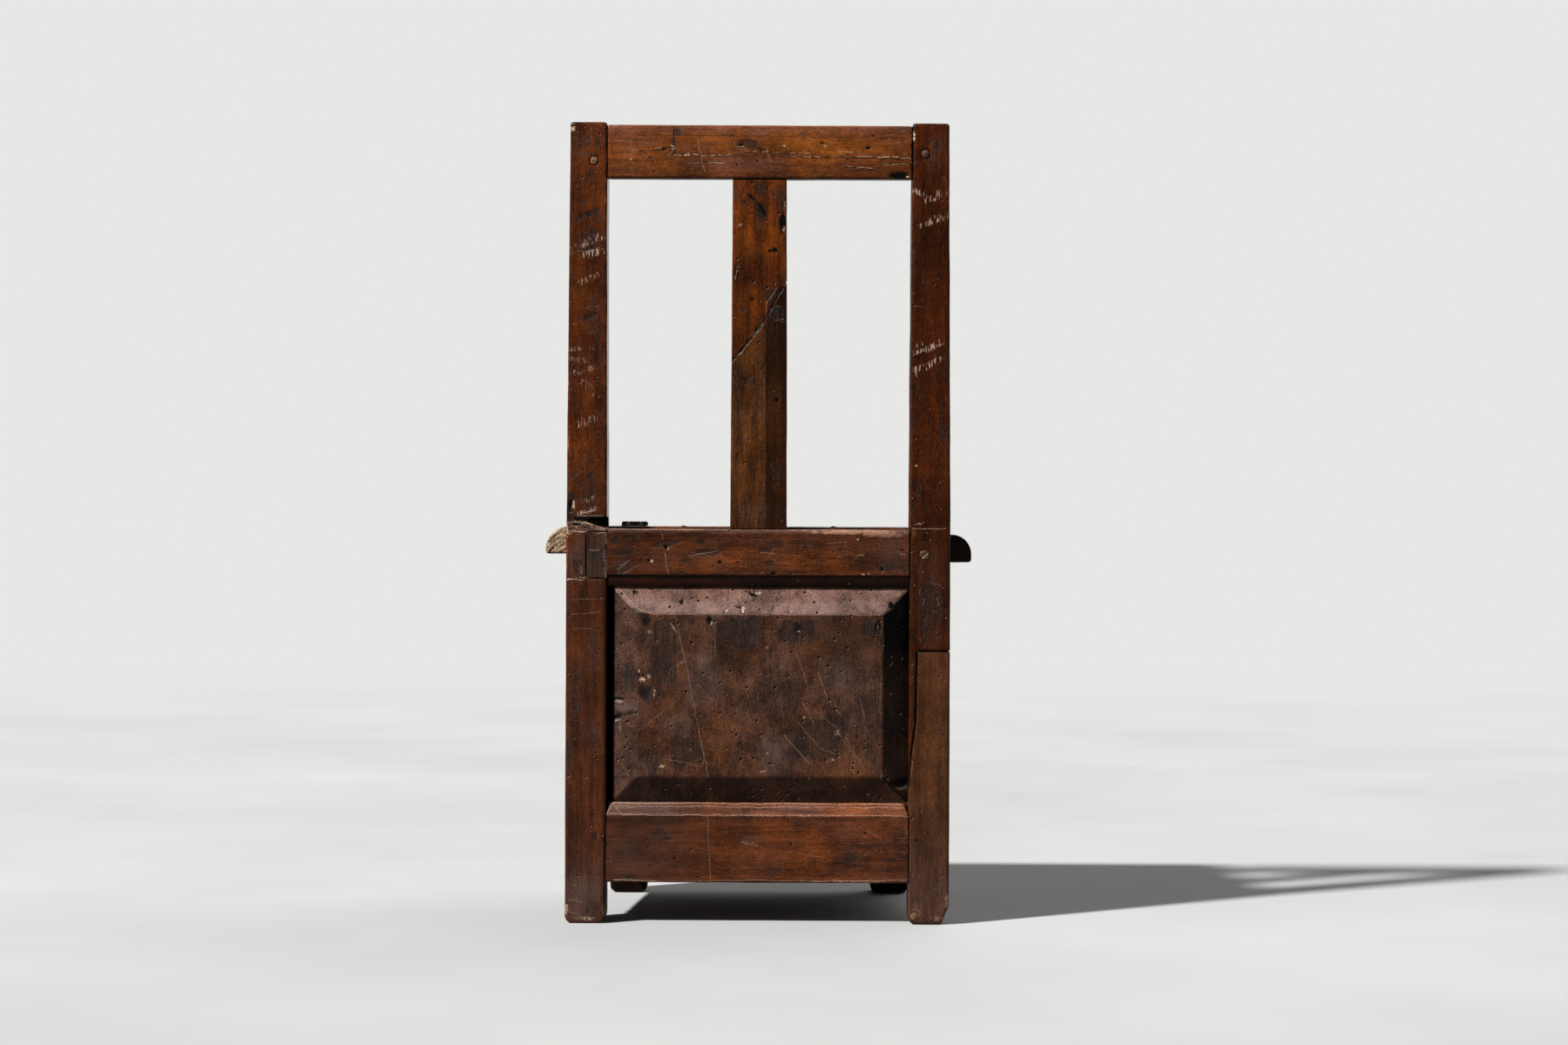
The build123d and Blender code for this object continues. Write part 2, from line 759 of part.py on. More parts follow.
def splice_region():
    """Everything below the slanting seam in the splat."""
    seam = [
        (-splat_width_low / 2, splice_right_height),
        (0, splice_middle_height),
        (splat_width_low / 2, splice_left_height),
        (reach, splice_left_height),
        (reach, -reach),
        (-reach, -reach),
        (-reach, splice_right_height),
    ]
    return front_prism(seam, (-reach, reach))


def rear_seat_rail():
    """Rear seat rail under the splat."""
    rail = rear_place * moulded_rail(
        stile_inner, rear_rail_thickness, rear_seat_rail_low, rear_seat_rail_top, False
    )
    tenon = rear_tenon(*rear_seat_tenon_span)
    rail = rail + tenon + mirrored(tenon)
    rail = rail - splat_foot_tenon(joint_clearance)
    return nailed(rail - screw_shape(peg_clearance), ledger_nail_spots())


def rear_bottom_rail():
    """Rear bottom rail with the mitred ends of its moulding."""
    rail = moulded_rail(stile_inner, rear_rail_thickness, foot_clearance, bottom_rail_top, True)
    rail = rear_place * (rail - mitre_cutter(stile_inner, bottom_rail_top))
    tenon = rear_tenon(*lower_tenon_span)
    return nailed(rail + tenon + mirrored(tenon), ledger_nail_spots())


def rear_panel():
    """Rear panel: captured above, below and on the right, shrunk clear of the left stile."""
    sight = (-stile_inner, stile_inner - panel_shrinkage)
    tongue = (-stile_inner - groove_depth + panel_margin, stile_inner - panel_shrinkage)
    panel = raised_panel(sight, tongue, bottom_rail_top, rear_seat_rail_low, field_proud)
    return rear_place * panel


# ---------------------------------------------------------------------------
# Front frame
# ---------------------------------------------------------------------------

def front_leg():
    """Left front leg."""
    leg = block((leg_inner, leg_outer), (leg_rear, box_depth), (0, rail_top))
    leg = chamfer(leg.edges().filter_by(Axis.Z), arris)
    groove = block(
        (leg_inner, leg_inner + groove_depth),
        (front_face - groove_setback - groove_width, front_face - groove_setback),
        (bottom_rail_top - groove_depth, box_rail_low + groove_depth),
    )
    cutters = [
        front_tenon(*box_seat_tenon_span, joint_clearance),
        front_tenon(*lower_tenon_span, joint_clearance),
        side_tenon(False, *box_seat_tenon_span, joint_clearance),
        side_tenon(False, *lower_tenon_span, joint_clearance),
        groove,
        side_groove(),
        *front_peg_set(peg_clearance),
        *side_peg_set(False, peg_clearance),
    ]
    return rounded_foot(cut_all(leg, cutters), leg_inner, leg_outer)


def front_rail(low, high, panel_above, tenon_span):
    """Front rail between the front legs."""
    rail = front_place * moulded_rail(leg_inner, front_rail_thickness, low, high, panel_above)
    tenon = front_tenon(*tenon_span)
    rail = rail + tenon + mirrored(tenon)
    rail = cut_all(rail, front_peg_set(peg_clearance))
    rail = cut_all(rail, [mirrored(peg) for peg in front_peg_set(peg_clearance)])
    return nailed(rail, ledger_nail_spots())


def front_panel():
    """Front panel, held in grooves on all four sides."""
    overlap = groove_depth - panel_margin
    sight = (-leg_inner, leg_inner)
    tongue = (-leg_inner - overlap, leg_inner + overlap)
    return front_place * raised_panel(sight, tongue, bottom_rail_top, box_rail_low, box_field_proud)


# ---------------------------------------------------------------------------
# Side frames
# ---------------------------------------------------------------------------

def side_rail(low, high, panel_above, tenon_span):
    """Left side rail with slanting shoulders."""
    rail = side_place * moulded_rail(side_run, side_rail_thickness, low, high, panel_above)
    rail = rail & block((0, reach), (stile_depth, leg_rear), (0, reach))
    rail = rail + side_tenon(True, *tenon_span) + side_tenon(False, *tenon_span)
    return cut_all(rail, side_peg_set(True, peg_clearance) + side_peg_set(False, peg_clearance))


def side_panel():
    """Left side panel, held in grooves on all four sides."""
    overlap = groove_depth - panel_margin
    slant = radians(side_slant)
    half = side_run / cos(slant) / 2 - 2 * groove_setback * tan(slant)
    long_tongue = (-side_run, side_run)
    panel = raised_panel((-half, half), long_tongue, bottom_rail_top, box_rail_low, box_field_proud)
    trim = block((0, reach), (stile_depth - overlap, leg_rear + overlap), (0, reach))
    return (side_place * panel) & trim


# ---------------------------------------------------------------------------
# Seat strip, lid and hinges
# ---------------------------------------------------------------------------

def ear(side, flat, drop):
    """One ear: flat below, quarter-round above, rounded at the front corner."""
    top = seat_height - drop
    outermost = -1 if side > 0 else 0
    x_range = (side * ear_start, side * ear_end)
    shape = block(x_range, (ear_rear, strip_front), (top - seat_board_thickness, top))
    end_edges = shape.edges().filter_by(Axis.Y).group_by(Axis.X)[outermost]
    shape = fillet(end_edges.sort_by(Axis.Z)[-1], seat_board_thickness - flat)
    under_edges = shape.edges().filter_by(Axis.Y).group_by(Axis.Z)[0]
    shape = fillet(under_edges.sort_by(Axis.X)[outermost], ear_under_round)
    centre_x = side * (ear_end - ear_front_round)
    centre_depth = strip_front - ear_front_round
    corner = block((centre_x, side * reach), (centre_depth, reach), (0, reach))
    return shape - (corner - rod(centre_x, centre_depth, reach, downward, reach, ear_front_round))


def rear_seat_strip():
    """Fixed board behind the lid, notched round the stiles, with an ear at each end."""
    rear_edge = rear_rail_thickness + joint_clearance
    strip = block((-ear_start, ear_start), (rear_edge, strip_front), (rail_top, seat_height))
    front_top = strip.edges().filter_by(Axis.X).group_by(Axis.Y)[0].sort_by(Axis.Z)[-1]
    strip = chamfer(front_top, hinge_relief)
    step = [
        (-ear_start, seat_height),
        (-ear_start + ear_drop_right, seat_height),
        (-ear_start, seat_height - ear_drop_right),
    ]
    strip = strip - front_prism(step, (0, reach))
    strip = strip + ear(1, ear_flat_left, 0) + ear(-1, ear_flat_right, ear_drop_right)
    for side in (-1, 1):
        inner = side * (stile_inner - notch_clearance)
        outer = side * (stile_outer + notch_clearance)
        strip = strip - block((inner, outer), (0, stile_depth + notch_clearance), (0, reach))
    return nailed(strip, strip_nail_spots() + hinge_nail_spots(False))


def lid_half_width(depth):
    """Half the lid's width at this depth."""
    taper = (lid_rear_half_width - lid_front_half_width) / (lid_front - lid_rear)
    return lid_rear_half_width - (depth - lid_rear) * taper


def lid_board(rear, front):
    """One board of the lid, with its ends eased."""
    outline = [
        (-lid_half_width(rear), rear),
        (lid_half_width(rear), rear),
        (lid_half_width(front), front),
        (-lid_half_width(front), front),
    ]
    board = plan_prism(outline, (rail_top, seat_height))
    top = board.edges().group_by(Axis.Z)[-1]
    ends = top.sort_by(Axis.X)
    return chamfer([ends[0], ends[-1]], lid_edge_round)


def lid_rear_board():
    """Rear board of the lid, eased under the hinge barrels."""
    board = lid_board(lid_rear, lid_joint_depth)
    relief = [
        (lid_rear, seat_height),
        (lid_rear + hinge_relief, seat_height),
        (lid_rear, seat_height - hinge_relief),
    ]
    board = cut_all(board - side_prism(relief, (-reach, reach)), sunk_heads())
    return nailed(board, lid_nail_spots() + hinge_nail_spots(True))


def lid_front_board():
    """Front board of the lid with its rounded nose."""
    board = lid_board(lid_joint_depth, lid_front)
    nose = board.edges().filter_by(Axis.X).group_by(Axis.Y)[0].sort_by(Axis.Z)
    board = fillet(nose[-1], lid_nose)
    under = board.edges().filter_by(Axis.X).group_by(Axis.Z)[0].sort_by(Axis.Y)[0]
    board = cut_all(fillet(under, lid_under_nose), sunk_heads())
    return nailed(board, lid_nail_spots())


def lid_batten(side):
    """Batten across the joint, under the lid."""
    x = side * batten_centre
    widths = (x - batten_width / 2, x + batten_width / 2)
    batten = block(widths, (batten_rear, batten_front), (rail_top - batten_thickness, rail_top))
    batten = chamfer(batten.edges().group_by(Axis.Z)[0], batten_bevel)
    return nailed(batten, lid_nail_spots())


def knuckle_spans(x_low, moving):
    """Widths of a leaf's knuckles: two outside on the fixed leaf, one between on the moving leaf."""
    first = (x_low, x_low + knuckle_end_width)
    last = (x_low + hinge_width - knuckle_end_width, x_low + hinge_width)
    middle = (first[1] + knuckle_gap, last[0] - knuckle_gap)
    return [middle] if moving else [first, last]


def hinge_leaf(x_low, moving):
    """Hinge leaf: a plate on the board and the knuckles it rolls into."""
    forward = 1 if moving else -1
    plate_back = hinge_depth + forward * (knuckle_radius + leaf_back_gap)
    plate_end = hinge_depth + forward * leaf_length
    heights = (seat_height, seat_height + leaf_thickness)
    leaf = block((x_low, x_low + hinge_width), (plate_back, plate_end), heights)
    for low, high in knuckle_spans(x_low, moving):
        leaf = leaf + block((low, high), (hinge_depth, plate_back), heights)
        leaf = leaf + rod(low, hinge_depth, hinge_height, (1, 0, 0), high - low, knuckle_radius)
    bore = rod(x_low, hinge_depth, hinge_height, (1, 0, 0), hinge_width, pin_radius + pin_clearance)
    return nailed(leaf - bore, leaf_nail_spots(x_low, moving))


def hinge_pin(x_low):
    """Iron pin through a hinge's knuckles."""
    start = x_low - pin_overlength / 2
    return rod(start, hinge_depth, hinge_height, (1, 0, 0), hinge_width + pin_overlength, pin_radius)


# ---------------------------------------------------------------------------
# Ledgers and floor of the box
# ---------------------------------------------------------------------------

def strip_ledger():
    """Ledger on the rear seat rail that carries the strip."""
    half = stile_inner - ledger_end_gap
    depths = (rear_rail_thickness, rear_rail_thickness + strip_ledger_width)
    ledger = block((-half, half), depths, (rail_top - ledger_height, rail_top))
    return nailed(ledger, ledger_nail_spots() + strip_nail_spots())


def floor_ledger(rear):
    """Ledger on a bottom rail that carries the floor boards."""
    half = (stile_inner if rear else leg_inner) - ledger_end_gap
    rear_depths = (rear_rail_thickness, rear_rail_thickness + ledger_width)
    front_depths = (front_inner_face - ledger_width, front_inner_face)
    heights = (floor_ledger_base, floor_board_base)
    ledger = block((-half, half), rear_depths if rear else front_depths, heights)
    return nailed(ledger, ledger_nail_spots() + floor_nail_spots())


def floor_board():
    """Left floor board, front to back, notched round the front leg."""
    side_front = side_outer_x(leg_rear) - side_width
    outline = [
        (board_joint / 2, rear_rail_thickness + board_gap),
        (stile_inner - board_gap, rear_rail_thickness + board_gap),
        (side_front - board_gap, leg_rear - board_gap),
        (leg_inner - board_gap, leg_rear - board_gap),
        (leg_inner - board_gap, front_inner_face - board_gap),
        (board_joint / 2, front_inner_face - board_gap),
    ]
    heights = (floor_board_base, floor_board_base + floor_board_thickness)
    return nailed(plan_prism(outline, heights), floor_nail_spots())


# ---------------------------------------------------------------------------
# All the nodes
# ---------------------------------------------------------------------------

left_leg = front_leg()
left_seat_side = side_rail(box_rail_low, rail_top, False, box_seat_tenon_span)
left_bottom_side = side_rail(foot_clearance, bottom_rail_top, True, lower_tenon_span)
left_side_panel = side_panel()
left_floor_board = floor_board()
splat = splat_whole()
side_pegs = side_peg_set(True) + side_peg_set(False)
front_pegs = front_peg_set()

nodes = {
    "rear_stile_left": rear_stile_left(),
    "stile_mortise_patch": patch_block(),
    "rear_stile_right": rear_stile_right(),
    "rear_stile_right_graft": rear_stile_right_graft(),
    "top_rail": top_rail(),
    "splat": splat - splice_region(),
    "splat_repair": splat & splice_region(),
    "rear_seat_rail": rear_seat_rail(),
    "rear_bottom_rail": rear_bottom_rail(),
    "rear_panel": rear_panel(),
    "front_leg_left": left_leg,
    "front_leg_right": mirrored(left_leg),
    "front_seat_rail": front_rail(box_rail_low, rail_top, False, box_seat_tenon_span),
    "front_bottom_rail": front_rail(foot_clearance, bottom_rail_top, True, lower_tenon_span),
    "front_panel": front_panel(),
    "side_seat_rail_left": left_seat_side,
    "side_seat_rail_right": mirrored(left_seat_side),
    "side_bottom_rail_left": left_bottom_side,
    "side_bottom_rail_right": mirrored(left_bottom_side),
    "side_panel_left": left_side_panel,
    "side_panel_right": mirrored(left_side_panel),
    "rear_seat_strip": rear_seat_strip(),
    "strip_ledger": strip_ledger(),
    "floor_ledger_rear": floor_ledger(True),
    "floor_ledger_front": floor_ledger(False),
    "floor_board_left": left_floor_board,
    "floor_board_right": mirrored(left_floor_board),
    "lid_rear_board": lid_rear_board(),
    "lid_front_board": lid_front_board(),
    "lid_batten_left": lid_batten(1),
    "lid_batten_right": lid_batten(-1),
    "hinge_fixed_leaf_left": hinge_leaf(hinge_left_low, False),
    "hinge_fixed_leaf_right": hinge_leaf(hinge_right_low, False),
    "hinge_moving_leaf_left": hinge_leaf(hinge_left_low, True),
    "hinge_moving_leaf_right": hinge_leaf(hinge_right_low, True),
    "hinge_pins": joined([hinge_pin(hinge_left_low), hinge_pin(hinge_right_low)]),
    "back_pegs": joined([back_peg(1, left_peg_height), back_peg(-1, right_peg_height)]),
    "front_pegs": joined(front_pegs + [mirrored(peg) for peg in front_pegs]),
    "side_pegs": joined(side_pegs + [mirrored(peg) for peg in side_pegs]),
    "stile_screw": stile_screw(),
    "strip_nails": joined(nail(spot) for spot in strip_nail_spots()),
    "ledger_nails": joined(nail(spot) for spot in ledger_nail_spots()),
    "floor_nails": joined(nail(spot) for spot in floor_nail_spots()),
    "lid_nails": joined(nail(spot) for spot in lid_nail_spots()),
    "hinge_nails_frame": joined(nail(spot, leaf_nail_head_radius) for spot in hinge_nail_spots(False)),
    "hinge_nails_lid": joined(nail(spot, leaf_nail_head_radius) for spot in hinge_nail_spots(True)),
}

os.makedirs("parts", exist_ok=True)
for name, shape in nodes.items():
    export_step(shape, f"parts/{name}.step")
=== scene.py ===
"""Looks of a joined box-seat chair of the wainscot kind, seen first from behind.

Every piece is in metres in the frame's own axes: +Z is up, the sitter faces -Y and the
sitter's left is +X.  Sizes written in millimetres are turned into metres by ``MM``.

Each wooden piece gets an even copy of its node's mesh.  The copy is worn with numpy and
painted with named numbers, one for each point, and its material reads those numbers:
``dark`` soiled, ``deep`` hollow, ``pale`` bare, ``worn`` rubbed, ``dull`` greyed, ``warm``
still polished, ``tone`` lighter or darker, and ``back`` on the rear face.  Pegs and nails
are set by Geometry Nodes.
"""

import logging
from collections.abc import Iterable, Iterator
from dataclasses import dataclass, replace
from enum import Enum
from functools import cache, reduce
from math import cos, pi, radians, sin

import bmesh
import bpy
import numpy as np
from mathutils import Matrix, Vector
from mathutils.bvhtree import BVHTree


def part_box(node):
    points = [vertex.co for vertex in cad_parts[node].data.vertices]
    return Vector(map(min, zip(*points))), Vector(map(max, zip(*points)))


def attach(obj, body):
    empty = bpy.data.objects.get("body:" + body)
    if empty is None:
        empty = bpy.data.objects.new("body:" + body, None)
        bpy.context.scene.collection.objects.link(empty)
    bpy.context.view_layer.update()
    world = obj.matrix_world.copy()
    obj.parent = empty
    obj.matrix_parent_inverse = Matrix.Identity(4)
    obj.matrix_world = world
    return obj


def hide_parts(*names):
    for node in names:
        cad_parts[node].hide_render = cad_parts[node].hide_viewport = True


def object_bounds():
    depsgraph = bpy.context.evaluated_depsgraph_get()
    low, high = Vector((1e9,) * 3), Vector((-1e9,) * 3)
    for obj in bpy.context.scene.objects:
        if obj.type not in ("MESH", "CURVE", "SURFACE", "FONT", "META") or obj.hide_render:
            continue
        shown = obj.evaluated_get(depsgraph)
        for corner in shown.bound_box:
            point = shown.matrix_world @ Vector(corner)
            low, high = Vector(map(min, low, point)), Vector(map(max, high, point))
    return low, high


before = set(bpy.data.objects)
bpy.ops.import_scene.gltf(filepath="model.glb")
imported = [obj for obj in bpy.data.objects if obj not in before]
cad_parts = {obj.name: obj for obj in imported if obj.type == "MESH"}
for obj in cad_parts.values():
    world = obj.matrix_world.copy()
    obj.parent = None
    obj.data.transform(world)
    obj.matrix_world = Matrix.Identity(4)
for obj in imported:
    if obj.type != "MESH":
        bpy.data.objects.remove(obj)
CAD_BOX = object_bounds()
MM = 0.001

logging.basicConfig(level=logging.INFO, format="%(message)s")
log = logging.getLogger("chair")

Colour = tuple[float, float, float]
Number = "Flow | float"
Place = "Flow | Colour"
Span = tuple[float, float]


# ---------------------------------------------------------------------------
# Short ways to say what Blender says at length
# ---------------------------------------------------------------------------

def add_node(tree: bpy.types.NodeTree, kind: str, settings: dict, sockets: dict) -> bpy.types.Node:
    """Add a node to any tree.

    Args:
        tree: Tree of a material, of the world or of geometry.
        kind: Blender's name for the node's type.
        settings: Properties that are set first, such as an operation.
        sockets: Values or links of inputs, by number or name.

    Returns:
        The new node.
    """
    made = tree.nodes.new(kind)
    for key, value in settings.items():
        setattr(made, key, value)
    for key, value in sockets.items():
        if isinstance(value, bpy.types.NodeSocket):
            tree.links.new(value, made.inputs[key])
        else:
            made.inputs[key].default_value = value
    return made


def shown(name: str, data: bpy.types.ID) -> bpy.types.Object:
    """A new object in the scene."""
    made = bpy.data.objects.new(name, data)
    bpy.context.scene.collection.objects.link(made)
    return made


def result_of(carrier: bpy.types.Object) -> bpy.types.Mesh:
    """The mesh that an object's modifiers make, after which the object is removed."""
    ready = carrier.evaluated_get(bpy.context.evaluated_depsgraph_get())
    made = bpy.data.meshes.new_from_object(ready)
    bpy.data.objects.remove(carrier)
    return made


def merged_copy(node: str) -> bmesh.types.BMesh:
    """A node's mesh with its double vertices merged."""
    copy = bmesh.new()
    copy.from_mesh(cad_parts[node].data)
    bmesh.ops.remove_doubles(copy, verts=copy.verts, dist=0.01 * MM)
    return copy


def column(group: bpy.types.bpy_prop_collection, name: str, width: int, kind: type = float) -> np.ndarray:
    """One property of a collection's members, with a row for each."""
    values = np.empty(len(group) * width, dtype=kind)
    group.foreach_get(name, values)
    return values.reshape(-1, width)


def stand_in(piece: bpy.types.Object, node: str, body: str) -> bpy.types.Object:
    """Let a piece stand for a node, riding on a body."""
    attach(piece, body)
    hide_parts(node)
    return piece


def paint_points(mesh: bpy.types.Mesh, numbers: dict) -> None:
    """Store named numbers on a mesh, one for each vertex."""
    for name, values in numbers.items():
        layer = mesh.attributes.new(name, "FLOAT", "POINT")
        layer.data.foreach_set("value", np.array(values, dtype=np.float32))


# ---------------------------------------------------------------------------
# Materials: expressions that add shader nodes
# ---------------------------------------------------------------------------

def linear(red: int, green: int, blue: int) -> Colour:
    """Scene-linear colour of an 8-bit display colour, by the usual display curve."""
    def channel(value: int) -> float:
        share = value / 255
        return share / 12.92 if share <= 0.04045 else ((share + 0.055) / 1.055) ** 2.4
    return channel(red), channel(green), channel(blue)


class Flow:
    """A number on its way through a material, with Python's arithmetic on it."""

    def __init__(self, graph: "Graph", socket: bpy.types.NodeSocket) -> None:
        """Wrap one output socket of a graph."""
        self.graph = graph
        self.socket = socket

    def _with(self, operation: str, first: Number, second: Number) -> "Flow":
        """Add one Math node."""
        return self.graph.node("ShaderNodeMath", {"operation": operation}, {0: first, 1: second})

    def __add__(self, other: Number) -> "Flow":
        """Sum."""
        return self._with("ADD", self, other)

    def __sub__(self, other: Number) -> "Flow":
        """Difference."""
        return self._with("SUBTRACT", self, other)

    def __rsub__(self, other: Number) -> "Flow":
        """Difference from a number."""
        return self._with("SUBTRACT", other, self)

    def __mul__(self, other: Number) -> "Flow":
        """Product."""
        return self._with("MULTIPLY", self, other)

    def __pow__(self, other: Number) -> "Flow":
        """Power."""
        return self._with("POWER", self, other)

    __radd__ = __add__
    __rmul__ = __mul__

    def at_most(self, other: Number) -> "Flow":
        """The lower of two numbers."""
        return self._with("MINIMUM", self, other)

    def at_least(self, other: Number) -> "Flow":
        """The higher of two numbers."""
        return self._with("MAXIMUM", self, other)

    def ramp(self, low: float, high: float) -> "Flow":
        """0 below ``low`` and 1 above ``high``, or the other way round when low is the greater."""
        settings = {"interpolation_type": "SMOOTHSTEP"}
        return self.graph.node("ShaderNodeMapRange", settings, {0: self, 1: low, 2: high, 3: 0.0, 4: 1.0})


class Graph:
    """The node tree of a material or of the world."""

    def __init__(self, owner: "bpy.types.Material | bpy.types.World") -> None:
        """Start with an empty tree."""
        owner.use_nodes = True
        self.owner = owner
        self.tree = owner.node_tree
        self.tree.nodes.clear()

    def node(self, kind: str, settings: dict, sockets: dict, output: int | str = 0) -> Flow:
        """Add any node and return one of its outputs, ready for arithmetic."""
        plain = {key: value.socket if isinstance(value, Flow) else value for key, value in sockets.items()}
        made = add_node(self.tree, kind, settings, plain)
        return Flow(self, made.outputs[output])

    def place(self) -> Flow:
        """Place on the object, in metres."""
        return self.node("ShaderNodeTexCoord", {}, {}, "Object")

    def painted(self, name: str) -> Flow:
        """A number painted on the mesh."""
        settings = {"attribute_name": name, "attribute_type": "GEOMETRY"}
        return self.node("ShaderNodeAttribute", settings, {}, "Fac")

    def vector(self, operation: str, first: Place, second: Place, output: int | str = 0) -> Flow:
        """Add one Vector Math node."""
        return self.node("ShaderNodeVectorMath", {"operation": operation}, {0: first, 1: second}, output)

    def noise(self, place: Flow, scale: float, detail: float = 3.0, rough: float = 0.55) -> Flow:
        """Cloudy noise between about 0.25 and 0.75."""
        sockets = {"Vector": place, "Scale": scale, "Detail": detail, "Roughness": rough}
        return self.node("ShaderNodeTexNoise", {}, sockets)

    def mix(self, share: Number, first: Place, second: Place) -> Flow:
        """Blend two colours."""
        def colour(value: Place) -> "Flow | tuple":
            return value if isinstance(value, Flow) else (*value, 1.0)
        sockets = {0: share, 6: colour(first), 7: colour(second)}
        return self.node("ShaderNodeMix", {"data_type": "RGBA"}, sockets, 2)

    def shade(self, colour: Place, factor: Number) -> Flow:
        """Colour or vector times a number."""
        return self.node("ShaderNodeVectorMath", {"operation": "SCALE"}, {0: colour, "Scale": factor})

    def bump(self, height: Flow, depth: float) -> Flow:
        """Small relief whose full height is ``depth`` millimetres."""
        return self.node("ShaderNodeBump", {}, {"Height": height, "Distance": depth * MM, "Strength": 1.0})

    def surface(self, sockets: dict) -> bpy.types.Material:
        """Close the tree with one Principled shader."""
        self.close(self.node("ShaderNodeBsdfPrincipled", {}, sockets))
        return self.owner

    def close(self, shader: Flow, kind: str = "ShaderNodeOutputMaterial") -> None:
        """Link a shader to the tree's surface."""
        add_node(self.tree, kind, {}, {"Surface": shader.socket})


GRIME = linear(25, 15, 10)
HOLLOW = linear(9, 6, 5)
# Rubbed pale wood, also the painted highlight on worm holes' lower rims.
RUBBED_AND_RIM_LIGHT = linear(158, 116, 92)
BARE = linear(200, 170, 138)
SCRATCHED = linear(190, 160, 138)


class Grain(Enum):
    """The way a board's fibres run, as stretches of the pattern on each axis."""

    ACROSS = (0.07, 1.0, 1.0)
    UPRIGHT = (1.0, 1.0, 0.07)
    DEEP = (1.0, 0.07, 1.0)


class Stain(Enum):
    """What a mark does to the surface, by the name of its painted number."""

    DARK = "dark"
    DEEP = "deep"
    PALE = "pale"
    WORN = "worn"
    DULL = "dull"
    WARM = "warm"


@dataclass(frozen=True)
class Mark:
    """A stain, scar or chip on a face seen from behind, in millimetres.

    Args:
        stain: What it does to the surface.
        x: Place across the chair.
        z: Height above the floor.
        width: Half width of its oval.
        height: Half height of its oval.
        strength: 1 for a full stain.
        depth: How far the surface is sunk.
        turn: Turn of the oval in degrees.
    """

    stain: Stain
    x: float
    z: float
    width: float
    height: float
    strength: float = 0.8
    depth: float = 0.0
    turn: float = 0.0


@dataclass(frozen=True)
class Line:
    """A scratch or crack on a face seen from behind, in millimetres.

    Args:
        x1: Place across the chair of one end.
        z1: Height of that end.
        x2: Place across the chair of the other end.
        z2: Height of the other end.
        width: Width of the line.
        strength: 1 for a clean line, less for a faint one.
    """

    x1: float
    z1: float
    x2: float
    z2: float
    width: float
    strength: float

    def mask(self, graph: Graph, flat: Flow) -> Flow:
        """Nearness to the line, where ``flat`` is the place without its depth."""
        start = Vector((self.x1, 0, self.z1)) * MM
        run = Vector((self.x2, 0, self.z2)) * MM - start
        offset = graph.vector("SUBTRACT", flat, tuple(start))
        length = graph.vector("DOT_PRODUCT", offset, tuple(run / run.length_squared), "Value")
        foot = graph.shade(tuple(run), length.at_most(1.0).at_least(0.0))
        gap = graph.vector("DISTANCE", offset, foot, "Value")
        half = self.width * MM / 2
        return gap.ramp(half * 1.7, half * 0.6) * self.strength


def marks(**kinds: tuple[tuple[float, ...], ...]) -> tuple[Mark, ...]:
    """Marks from rows of their numbers, sorted by the name of their stain."""
    return tuple(Mark(Stain(name), *row) for name, rows in kinds.items() for row in rows)


def lines(*rows: tuple[float, ...]) -> tuple[Line, ...]:
    """Lines from rows: a width and a strength, then the places of two or more points that they join."""
    made = []
    for width, strength, *spots in rows:
        points = list(zip(spots[::2], spots[1::2]))
        made += [Line(*start, *end, width, strength) for start, end in zip(points, points[1:])]
    return tuple(made)


class Noises:
    """The patterns that a wooden material is mixed from."""

    def __init__(self, graph: Graph, grain: Grain) -> None:
        """Add them to a material, some of them drawn out along the fibres."""
        self.place = graph.place()
        self.along = graph.vector("MULTIPLY", self.place, grain.value)
        self.fine = graph.noise(self.place, 420.0, 4.0, 0.7)
        self.patches = graph.noise(self.place, 26.0, 5.0, 0.68)
        self.streaks = graph.noise(self.along, 330.0, 4.0, 0.65)
        fibres = graph.noise(self.along, 260.0, 4.0, 0.75)
        self.torn = fibres.ramp(0.3, 0.7) * 0.6 + self.fine.ramp(0.3, 0.7) * 0.4
        self.chips = graph.noise(self.place, 760.0, 3.0, 0.7).ramp(0.36, 0.64)


